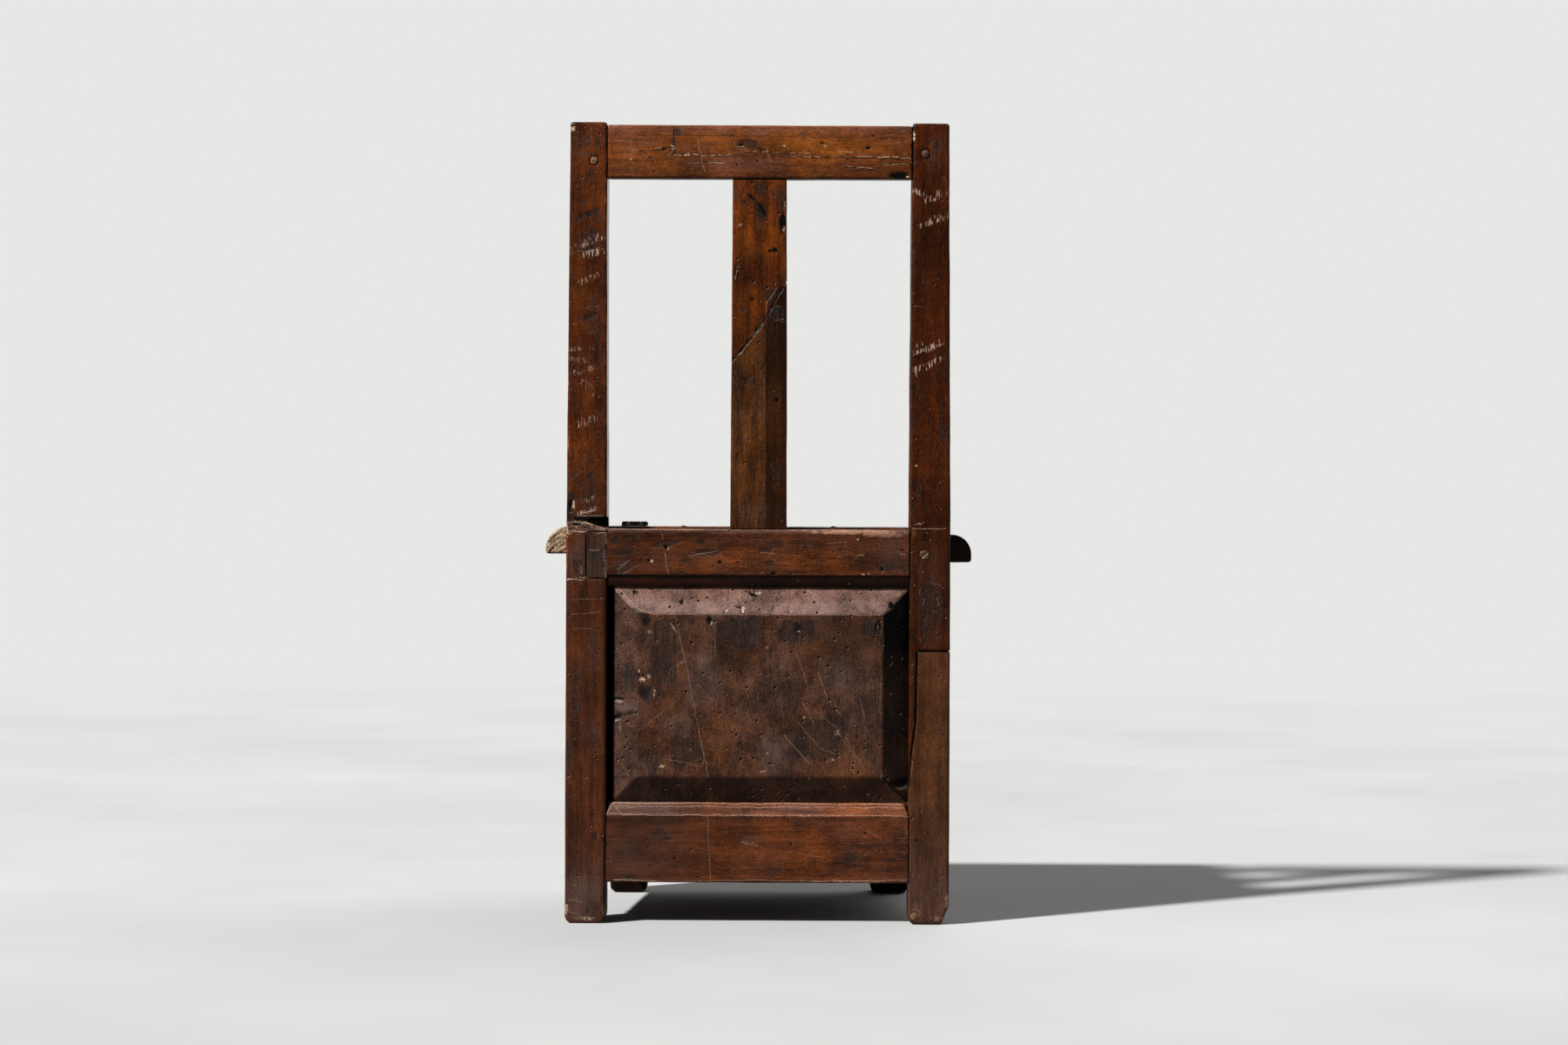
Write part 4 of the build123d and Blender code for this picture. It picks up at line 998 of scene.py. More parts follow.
class Recipe:
    """A Geometry Nodes tree that sets one fastening at each point."""

    def __init__(self, name: str, head: Head, material: bpy.types.Material) -> None:
        """Build the tree.

        Args:
            name: Name of the tree.
            head: Which fastening it sets.
            material: Finish of the fastening.
        """
        self.tree = bpy.data.node_groups.new(name, "GeometryNodeTree")
        ports = self.tree.interface
        ports.new_socket("Geometry", in_out="INPUT", socket_type="NodeSocketGeometry")
        ports.new_socket("Geometry", in_out="OUTPUT", socket_type="NodeSocketGeometry")
        self.inputs = {}
        for label, value in (("Uneven", 0.2 * MM), ("Uneven Size", 220.0)):
            port = ports.new_socket(label, in_out="INPUT", socket_type="NodeSocketFloat")
            port.default_value = value
            self.inputs[label] = port.identifier
        entry = self.tree.nodes.new("NodeGroupInput")
        leave = self.tree.nodes.new("NodeGroupOutput")
        shape = {Head.PEG: self.peg, Head.NAIL: self.nail}[head]()
        way = self.node("GeometryNodeInputNamedAttribute", {"data_type": "FLOAT_VECTOR"}, {0: "way"})
        girth = self.node("GeometryNodeInputNamedAttribute", {"data_type": "FLOAT_VECTOR"}, {0: "girth"})
        turned = self.node("FunctionNodeAlignRotationToVector", {"axis": "Z"}, {2: way})
        sockets = {2: 0.0, 3: WHOLE_TURN, 8: 5}
        chance = self.node("FunctionNodeRandomValue", {"data_type": "FLOAT"}, sockets, 1)
        spin = self.node("FunctionNodeAxisAngleToRotation", {}, {0: (0.0, 0.0, 1.0), 1: chance})
        sockets = {0: turned, 1: spin}
        rotation = self.node("FunctionNodeRotateRotation", {"rotation_space": "LOCAL"}, sockets)
        sockets = {0: entry.outputs[0], 2: shape, 5: rotation, 6: girth}
        placed = self.node("GeometryNodeInstanceOnPoints", {}, sockets)
        real = self.node("GeometryNodeRealizeInstances", {}, {0: placed})
        spot = self.node("GeometryNodeInputPosition", {}, {})
        sockets = {"Vector": spot, "Scale": entry.outputs["Uneven Size"], "Detail": 2.0}
        cloud = self.node("ShaderNodeTexNoise", {}, sockets, 1)
        centred = self.node("ShaderNodeVectorMath", {"operation": "SUBTRACT"}, {0: cloud, 1: (0.5, 0.5, 0.5)})
        sockets = {0: centred, "Scale": entry.outputs["Uneven"]}
        shift = self.node("ShaderNodeVectorMath", {"operation": "SCALE"}, sockets)
        beaten = self.node("GeometryNodeSetPosition", {}, {0: real, 3: shift})
        smooth = self.node("GeometryNodeSetShadeSmooth", {}, {0: beaten, 2: head is Head.PEG})
        painted = self.node("GeometryNodeSetMaterial", {}, {0: smooth, 2: material})
        self.tree.links.new(painted, leave.inputs[0])

    def node(self, kind: str, settings: dict, sockets: dict, output: int = 0) -> bpy.types.NodeSocket:
        """Add any node and return one of its outputs."""
        return add_node(self.tree, kind, settings, sockets).outputs[output]

    def ring(self, sides: int, low: float, high: float, bottom: float, top: float) -> bpy.types.NodeSocket:
        """Tapered drum between two heights, with its radius at the low and the high one."""
        sockets = {0: sides, 1: 1, 2: 1, 3: high, 4: low, 5: top - bottom}
        drum = self.node("GeometryNodeMeshCone", {"fill_type": "NGON"}, sockets)
        return self.node("GeometryNodeTransform", {}, {0: drum, "Translation": (0.0, 0.0, bottom)})

    def joined(self, *parts: bpy.types.NodeSocket) -> bpy.types.NodeSocket:
        """Several shapes as one."""
        join = self.tree.nodes.new("GeometryNodeJoinGeometry")
        for part in parts:
            self.tree.links.new(part, join.inputs[0])
        return join.outputs[0]

    def peg(self) -> bpy.types.NodeSocket:
        """Riven peg of unit radius and length, its head at height 0, with a bruised rim."""
        shank = self.ring(sides=11, low=0.94, high=1.0, bottom=-1.0, top=-0.02)
        rim = self.ring(sides=11, low=1.0, high=0.8, bottom=-0.02, top=0.0)
        return self.node("GeometryNodeMergeByDistance", {}, {0: self.joined(shank, rim)})

    def nail(self) -> bpy.types.NodeSocket:
        """Forged nail of unit head radius and length: a square shank and a facetted head."""
        shank = self.ring(sides=4, low=0.2, high=0.42, bottom=-1.0, top=-0.04)
        low = self.ring(sides=8, low=0.9, high=1.0, bottom=-0.045, top=-0.03)
        high = self.ring(sides=8, low=1.0, high=0.35, bottom=-0.03, top=0.0)
        return self.joined(shank, low, high)

    def set(
        self, node: str, body: str, slot: str, uneven: float, paint: dict | None = None,
    ) -> bpy.types.Object:
        """Set the fastenings of one node.

        Args:
            node: Node whose solids they stand for.
            body: Body they ride on.
            slot: Record's material slot; not used.
            uneven: How far faces are beaten out of true, in millimetres.
            paint: Painted numbers by name, one for each spot, over an uneven tone.

        Returns:
            One plain mesh object with all of them.
        """
        return stand_in(self.make(node + "_set", spots_of(node), uneven, paint or {}), node, body)

    def make(self, name: str, spots: list[Spot], uneven: float, paint: dict) -> bpy.types.Object:
        """Run the tree on a list of spots and keep the result as a plain mesh."""
        mesh = bpy.data.meshes.new(name + "_spots")
        mesh.from_pydata([spot.head for spot in spots], [], [])
        ways = mesh.attributes.new("way", "FLOAT_VECTOR", "POINT")
        ways.data.foreach_set("vector", [value for spot in spots for value in spot.way])
        girths = mesh.attributes.new("girth", "FLOAT_VECTOR", "POINT")
        sizes = [value for spot in spots for value in (spot.radius, spot.radius, spot.length)]
        girths.data.foreach_set("vector", sizes)
        tones = np.random.default_rng(len(spots)).uniform(0.75, 1.2, len(spots))
        paint_points(mesh, {"tone": tones, **paint})
        carrier = shown(name + "_carrier", mesh)
        recipe = carrier.modifiers.new("fastenings", "NODES")
        recipe.node_group = self.tree
        recipe[self.inputs["Uneven"]] = uneven * MM
        log.info("%s: %d of them", name, len(spots))
        return shown(name, result_of(carrier))


# ---------------------------------------------------------------------------
# The chair: where its rear face is marked, in millimetres.  A mark is x, z, half
# width, half height, strength, depth and turn; a line is width, strength and its
# points' x and z; a shade is a place along the piece and how light it is there.
# ---------------------------------------------------------------------------

LEFT_MARKS = marks(
    dark=(
        (208, 933, 7, 10, 0.55), (216, 882, 21, 4, 0.5, 0, -25), (203, 879, 9, 11, 0.35),
        (219, 900, 4, 7, 0.5), (213, 757, 16, 4, 0.42, 0, -20), (199, 720, 2.2, 45, 0.6),
        (234, 533, 5, 5, 0.5), (226, 445, 7, 9, 0.65), (203, 109, 5, 7, 0.6, 0.6), (227, 306, 7, 22, 0.35),
        (204, 236, 10, 27, 0.35), (204, 19, 12, 15, 0.4), (214, 849, 22, 23, 0.4), (205, 756, 13, 38, 0.35),
        (228, 799, 8, 27, 0.25), (207, 534, 15, 33, 0.3), (214, 456, 22, 24, 0.35), (206, 339, 12, 54, 0.3),
        (215, 975, 21, 12, 0.3),
    ),
    pale=(
        (238, 674, 1.8, 3, 0.74, 0.8), (215, 514, 8, 3, 0.46), (231, 523, 1.7, 6, 0.83),
        (214, 500, 18, 3, 0.51, 0.4, 8), (214, 489, 17, 1.5, 0.51), (216, 432, 13, 1.8, 0.37),
        (232, 988, 4, 2.6, 0.83, 0.4), (238, 18, 2.6, 8, 0.64), (213, 6, 15, 3, 0.46),
    ),
    worn=(
        (239, 600, 2.2, 12, 0.6, 1), (221, 442, 5, 8, 0.5), (222, 47, 15, 3.8, 0.35),
        (227, 31, 11, 3.3, 0.4), (228, 16, 10, 3.3, 0.4), (190, 16, 6, 12, 0.6),
    ),
    deep=((234, 521, 2.7, 7, 1.2, 2.5), (212, 476, 2.7, 11, 0.9, 0.8)),
    dull=((213, 462, 26, 34, 0.7), (216, 39, 24, 39, 0.6), (219, 956, 10, 3.8)),
    warm=(
        (217, 934, 18, 44, 0.6), (219, 778, 16, 16, 0.6), (217, 589, 18, 54, 0.5), (217, 377, 21, 49, 0.35),
        (223, 170, 14, 49, 0.4),
    ),
)
LEFT_SCRATCHES = lines(
    (0.5, 0.3, 234, 836, 193, 841), (0.5, 0.35, 232, 555, 221, 565), (0.5, 0.25, 237, 686, 199, 693),
    (0.6, 0.2, 230, 404, 191, 406), (0.6, 0.25, 235, 386, 197, 389), (0.6, 0.2, 232, 369, 203, 367),
    (0.7, 0.35, 235, 29, 218, 27), (0.7, 0.35, 235, 14, 220, 12), (1, 0.75, 240, 501, 231, 502),
    (1.1, 0.85, 231, 502, 222, 501), (0.9, 0.6, 222, 501, 209, 500), (0.9, 0.7, 209, 500, 198, 498),
    (1, 0.75, 198, 498, 190, 494), (1.1, 0.75, 239, 498, 238, 487), (1, 0.75, 238, 487, 227, 489),
    (0.9, 0.6, 227, 489, 214, 490), (0.9, 0.6, 206, 487, 191, 488), (0.7, 0.6, 238, 482, 231, 492),
    (1.5, 0.8, 238, 430, 221, 429), (0.8, 0.5, 221, 429, 210, 432), (0.6, 0.7, 191, 492, 190, 474),
    (0.6, 0.5, 190, 458, 190, 432), (0.8, 0.5, 211, 466, 198, 467), (1.3, 0.6, 222, 512, 205, 516),
    (1, 0.5, 225, 509, 194, 509), (0.6, 0.4, 238, 495, 214, 498), (0.6, 0.4, 214, 495, 194, 493),
)
LEFT_CRACKS = lines(
    (1.2, 0.9, 238, 524, 237, 506), (1.2, 0.8, 236, 494, 227, 492), (1.2, 0.8, 222, 495, 207, 493),
    (1, 0.9, 213, 489, 211, 478), (0.9, 0.9, 211, 478, 212, 465), (0.8, 0.7, 214, 883, 207, 859),
    (0.9, 0.6, 236, 488, 191, 486), (0.9, 0.6, 198, 432, 236, 428),
)
LEFT_RUBS = lines(
    (4, 0.5, 233, 845, 218, 848), (7, 0.95, 219, 847, 196, 856), (7, 0.9, 216, 833, 192, 839),
    (6, 0.7, 221, 799, 203, 808), (4, 0.35, 236, 716, 203, 718), (6, 0.8, 227, 688, 210, 692),
    (5, 0.4, 233, 704, 217, 702), (7, 0.4, 218, 675, 202, 659), (8, 0.6, 224, 624, 207, 630),
    (4, 0.6, 215, 528, 205, 532), (5, 0.8, 225, 511, 204, 518),
)
RIGHT_MARKS = marks(
    dark=(
        (-205, 802, 5, 5, 0.4), (-204, 638, 5, 2.7), (-194, 518, 2.7, 16, 0.5), (-204, 410, 4, 10, 0.9),
        (-225, 405, 4, 8, 0.85), (-215, 421, 6, 3.3, 0.7), (-208, 368, 4, 20, 0.5), (-199, 664, 5, 12, 0.35),
        (-214, 955, 18, 33, 0.25), (-215, 390, 18, 46, 0.45), (-230, 616, 5, 71, 0.35),
    ),
    pale=(
        (-196, 573, 1.8, 2.6, 0.46, 0.3), (-192, 533, 1.5, 1.5, 0.74), (-201, 501, 5, 1.8, 0.32),
        (-190, 980, 2.2, 7, 0.92, 0.6),
    ),
    deep=((-208, 486, 2.2, 2.2, 1, 0.8), (-209, 481, 1.9, 1.9, 1, 0.8)),
    dull=((-215, 443, 22, 50, 0.35),),
    worn=((-192, 475, 2.2, 38, 0.25), (-192, 972, 2.2, 4, 0.6, 0.5)),
    warm=((-213, 799, 14, 60, 0.6), (-215, 627, 12, 60, 0.7)),
)
RIGHT_SCRATCHES = lines(
    (0.6, 0.4, -192, 711, -227, 725), (0.6, 0.4, -194, 500, -210, 504), (0.7, 0.6, -193, 495, -234, 495),
    (0.5, 0.3, -193, 772, -202, 770), (0.4, 0.4, -202, 421, -201, 413), (0.4, 0.4, -207, 408, -205, 398),
    (0.4, 0.5, -223, 408, -226, 399), (0.4, 0.35, -224, 427, -230, 422), (0.4, 0.35, -210, 384, -209, 378),
    (0.4, 0.35, -216, 428, -222, 425), (0.4, 0.35, -202, 360, -203, 352), (0.4, 0.35, -218, 393, -223, 390),
)
RIGHT_RUBS = lines(
    (5, 0.8, -191, 915, -204, 908), (6, 0.85, -206, 902, -219, 905), (7, 0.5, -222, 910, -229, 910),
    (5, 0.6, -199, 870, -214, 876), (7, 0.95, -212, 876, -231, 884), (4, 1, -192, 713, -210, 719),
    (6, 1, -208, 718, -228, 728), (6, 1, -193, 693, -209, 697), (6, 1, -207, 696, -224, 706),
    (4, 0.5, -196, 723, -204, 726), (4, 0.6, -194, 692, -198, 686),
)
GRAFT_MARKS = marks(
    pale=(
        (-192, 350, 2.2, 15, 0.41), (-192, 257, 2.2, 18, 0.28), (-194, 11, 3.3, 5, 0.55),
        (-238, 29, 3.7, 11, 0.37),
    ),
    worn=(
        (-192, 290, 3.8, 38, 0.5), (-192, 203, 2.7, 27, 0.45), (-201, 18, 10, 14, 0.5),
        (-225, 8, 14, 5, 0.6),
    ),
    dark=((-224, 246, 10, 16, 0.3), (-204, 132, 5, 11, 0.35)),
    dull=((-217, 42, 28, 41, 0.3),),
    warm=((-215, 53, 17, 30, 0.6),),
    deep=((-199, 106, 2.2, 2.2, 0.8, 0.5),),
)
RAIL_MARKS = marks(
    dark=(
        (107, 969, 5, 21, 0.5), (129, 936, 49, 8, 0.25), (135, 953, 5, 4, 0.5), (101, 985, 5, 6, 0.45, 0.3),
        (42, 983, 16, 4, 0.3), (-54, 982, 11, 6, 0.4), (-101, 946, 9, 4, 0.35), (156, 972, 33, 6, 0.3),
        (75, 960, 27, 27, 0.25), (-161, 976, 26, 11, 0.25),
    ),
    deep=(
        (22, 968, 3.8, 3.3, 0.7, 1), (-77, 972, 2.7, 1.6, 0.9, 0.8), (-134, 966, 3.8, 2.2, 0.8, 0.6),
        (-174, 932, 14, 5, 0.9, 1.8), (119, 964, 4, 2.2, 0.8, 0.6), (-2, 962, 2.7, 2.2, 0.8, 0.5),
    ),
    pale=(
        (-30, 969, 1.8, 1.8, 0.64, 0.6), (-80, 968, 3, 1.8, 0.92, 0.8), (-183, 931, 2.6, 1.8, 0.55),
        (108, 965, 2.6, 3.7, 0.64, 0.4), (160, 952, 1.5, 2.2, 0.64, 0.3), (90, 957, 3.7, 1.5, 0.64, 0.3),
    ),
    worn=((-178, 987, 4, 3.3, 0.5),),
    warm=((53, 969, 38, 10, 0.6), (-92, 967, 87, 10), (156, 955, 33, 22, 0.4)),
)
RAIL_SCRATCHES = lines(
    (0.7, 0.4, 77, 973, 69, 937), (0.6, 0.4, -9, 965, -13, 949),
)
RAIL_CRACKS = lines(
    (1.2, 0.85, -76, 954, -186, 953), (1.3, 0.95, -108, 943, -120, 941), (1.2, 0.9, -120, 941, -140, 940),
    (0.9, 0.7, -33, 954, -76, 954), (0.9, 0.7, 20, 960, -24, 959), (1, 0.7, 149, 961, 118, 962),
    (1.2, 0.8, 106, 989, 107, 970), (1.6, 1, 28, 969, 21, 970), (0.8, 0.6, 83, 955, 37, 955),
    (1.2, 0.8, 3, 965, -3, 964), (1, 0.8, 121, 964, 106, 966), (0.8, 0.35, 188, 981, -184, 978),
)
RAIL_FILLERS = lines(
    (0.8, 0.8, 19, 961, 14, 962), (0.8, 0.7, 9, 961, 3, 961), (0.8, 0.8, -2, 961, -10, 961),
    (0.8, 0.85, -16, 960, -23, 960), (0.8, 0.8, -38, 959, -44, 960), (0.8, 0.7, -47, 960, -62, 960),
    (0.7, 0.5, -33, 955, -50, 955), (0.9, 1, -54, 955, -64, 955), (0.9, 0.95, -68, 956, -75, 955),
    (0.9, 0.95, -90, 955, -97, 955), (0.8, 0.6, -101, 954, -112, 955), (1.1, 1, -118, 955, -138, 955),
    (1.1, 1, -145, 955, -160, 955), (1.1, 1, -164, 956, -172, 956), (1.2, 1, -174, 954, -186, 954),
    (1, 0.95, -97, 961, -115, 961), (0.9, 0.9, -108, 944, -115, 943), (0.8, 0.8, -119, 942, -128, 943),
    (1, 0.95, -130, 942, -139, 941), (0.7, 0.6, -153, 946, -184, 946), (1, 0.9, -28, 969, -33, 969),
    (0.9, 0.9, 83, 957, 77, 957), (0.8, 0.8, 74, 956, 67, 956), (0.9, 0.95, 64, 956, 56, 956),
    (0.8, 0.9, 52, 957, 45, 956), (0.9, 0.9, 42, 957, 37, 958), (0.9, 0.85, 106, 957, 98, 956),
    (0.8, 0.7, 95, 956, 87, 956), (1, 0.9, 63, 947, 44, 947), (0.6, 0.5, 89, 946, 73, 947),
    (0.7, 0.6, 158, 962, 150, 962), (0.8, 0.6, 142, 962, 137, 962), (0.8, 0.7, 129, 964, 121, 965),
    (1, 0.9, 110, 969, 106, 965), (0.8, 0.8, 108, 961, 114, 955), (1.2, 1, 28, 967, 21, 968),
    (0.8, 0.7, 192, 987, 191, 966), (0.6, 0.5, 190, 955, 191, 944),
)
SPLAT_MARKS = marks(
    dark=(
        (0, 916, 6, 9, 0.9), (1, 889, 17, 3.8, 0.95, 0.5, 59), (28, 909, 9, 14, 0.35), (19, 899, 6, 4, 0.5),
        (-18, 772, 6, 20, 0.6, 0, -30), (20, 767, 5, 5, 0.5), (-20, 784, 14, 12, 0.5),
        (-22, 904, 11, 19, 0.25),
    ),
    deep=(
        (9, 904, 9, 2.7, 0.8, 0.3, 45), (-3, 890, 13, 3.3, 1.1, 0.5, 62), (-29, 874, 4, 14, 1.1, 1.2),
        (28, 812, 2.7, 9, 0.7, 0.9), (-19, 840, 3.8, 4, 0.8, 0.6), (-13, 839, 2.2, 2.2, 0.9, 0.5),
        (9, 780, 3.3, 3.3, 0.7, 0.5), (1, 741, 5, 5, 0.9, 1, -40), (-31, 895, 2.2, 4, 0.6, 0.8),
    ),
    pale=(
        (-30, 866, 1.8, 3.7, 0.64), (-31, 897, 1.5, 4, 0.64), (26, 820, 2.2, 1.5, 0.64),
        (24, 871, 1.8, 1.8, 0.55, 0.4),
    ),
    worn=((24, 919, 6, 9, 0.4),),
    warm=((18, 872, 12, 47), (-15, 853, 13, 27, 0.7), (11, 756, 18, 38, 0.7)),
)
SPLAT_SCRATCHES = lines(
    (0.8, 0.7, 28, 818, 30, 803), (0.7, 0.6, 25, 872, 28, 867), (0.6, 0.6, -21, 793, -9, 775),
    (0.5, 0.5, -9, 775, -8, 751), (0.7, 0.7, -34, 803, -20, 778), (0.5, 0.5, -20, 778, -4, 750),
    (1.5, 1, -4, 750, 8, 733), (0.5, 0.5, 8, 733, 24, 714), (0.8, 0.8, 24, 714, 35, 701),
)
REPAIR_MARKS = marks(
    deep=((-22, 655, 2.2, 3.3, 0.9, 0.6),),
    dark=((-21, 761, 12, 12, 0.45), (20, 600, 9, 11, 0.3), (-21, 562, 9, 27, 0.35), (9, 675, 8, 11, 0.3)),
    pale=((-29, 752, 3, 2.2, 0.37),),
    dull=((0, 515, 34, 20, 0.3),),
)
REPAIR_SCRATCHES = lines(
    (0.6, 0.35, -21, 770, -29, 770), (0.6, 0.35, -20, 753, -30, 755), (0.4, 0.15, -7, 697, -8, 502),
    (0.8, 0.5, 36, 706, 36, 610), (0.8, 0.4, 36, 610, 36, 498),
)
SEAT_RAIL_MARKS = marks(
    dark=(
        (168, 464, 17, 5, 0.6), (180, 477, 5, 6, 0.5), (115, 475, 21, 4, 0.85, 0.4, -9),
        (72, 478, 6, 4, 0.85), (68, 463, 20, 5, 0.95, 0.5, -4), (89, 454, 9, 3.8, 0.7),
        (-8, 466, 10, 4, 0.9, 0.4), (-26, 476, 11, 5, 0.6), (-15, 451, 6, 3.8, 0.7), (-59, 472, 4, 4, 0.6),
        (-102, 468, 5, 3.8, 0.5), (-80, 454, 5, 2.7, 0.6), (-137, 461, 4, 3.8, 0.6), (-158, 478, 8, 4, 0.4),
        (-40, 439, 6, 3.3, 0.6), (169, 446, 15, 10, 0.45), (-161, 446, 22, 12, 0.3),
    ),
    deep=(
        (115, 470, 3.3, 2.2, 1, 1.4), (137, 454, 2.7, 2.2, 0.8, 0.7), (48, 452, 3.3, 2.2, 0.95, 0.9),
        (26, 452, 3.3, 1.6, 0.7, 0.5), (-155, 444, 2.7, 2.7, 1, 1), (-180, 468, 4, 1.6, 0.7, 0.5),
        (-19, 438, 5, 2.7, 0.9, 1.2),
    ),
    pale=(
        (112, 468, 1.5, 1.5, 0.74), (133, 453, 1.8, 2.2, 0.92, 0.9), (-131, 438, 1.8, 1.8, 0.83, 0.6),
        (-138, 438, 1.5, 1.5, 0.74), (-124, 481, 1.8, 1.8, 0.92, 0.7), (-127, 461, 5, 1.5, 0.32),
        (-180, 463, 6, 1.5, 0.37), (85, 494, 27, 1.5, 0.55), (-125, 494, 31, 1.5, 0.55),
    ),
    dull=((-168, 462, 22, 27, 0.6), (167, 448, 13, 11, 0.5)),
    worn=(
        (-120, 490, 70, 3.8, 0.9), (-158, 486, 30, 3.3, 0.7), (70, 493, 120, 1.6, 0.7),
        (168, 438, 19, 2.7, 0.5), (151, 472, 12, 5, 0.2),
    ),
    warm=((114, 479, 35, 10, 0.5), (24, 458, 24, 16), (-74, 454, 44, 15), (78, 448, 33, 11, 0.6)),
)
SEAT_RAIL_SCRATCHES = lines(
    (0.6, 0.35, 121, 488, 119, 480), (0.7, 0.3, 117, 464, 113, 437), (0.7, 0.35, 176, 442, 161, 453),
    (0.7, 0.35, 173, 448, 165, 452), (0.6, 0.35, 87, 460, 50, 466), (0.5, 0.35, 85, 464, 65, 462),
    (0.4, 0.2, 54, 483, 54, 467), (0.7, 0.3, -87, 476, -112, 478), (0.6, 0.25, 169, 437, 148, 448),
    (0.6, 0.35, -2, 465, -20, 463),
)
BOTTOM_RAIL_MARKS = marks(
    dark=(
        (59, 101, 8, 34, 0.3), (162, 56, 19, 6, 0.5), (-52, 124, 16, 8, 0.35), (-117, 83, 16, 11, 0.4),
        (122, 112, 16, 10, 0.4), (-22, 69, 19, 9, 0.35), (-179, 105, 13, 27, 0.45),
    ),
    pale=((11, 102, 9, 2.6, 0.23),),
    deep=(
        (169, 48, 18, 3.3, 0.6, 1), (-124, 45, 41, 3.8, 0.6, 1.2), (103, 82, 2.7, 1.6, 0.8, 0.7),
        (-43, 100, 2.2, 1.6, 0.8, 0.7), (-135, 114, 2.2, 1.6, 0.8, 0.7),
    ),
    worn=((168, 55, 19, 3.3, 0.5), (-125, 53, 42, 3.3, 0.5), (-5, 135, 187, 1.5, 0.5)),
    dull=((163, 94, 19, 38, 0.4),),
    warm=((57, 100, 27, 33, 0.4), (-71, 89, 30, 27, 0.5)),
)
BOTTOM_RAIL_SCRATCHES = lines(
    (0.8, 0.4, 180, 150, -194, 150), (0.8, 0.4, 169, 136, -192, 136), (0.7, 0.35, 182, 150, 169, 136),
    (0.6, 0.3, 62, 135, 58, 56), (0.8, 0.3, 19, 103, -1, 98), (0.5, 0.3, -38, 91, -79, 84),
    (0.5, 0.25, -128, 121, -155, 108), (1, 0.55, 179, 55, 116, 53), (0.8, 0.35, 116, 53, 18, 55),
    (0.8, 0.3, 18, 55, -69, 54), (1, 0.5, -69, 54, -191, 56), (0.8, 0.4, 180, 146, -194, 146),
)
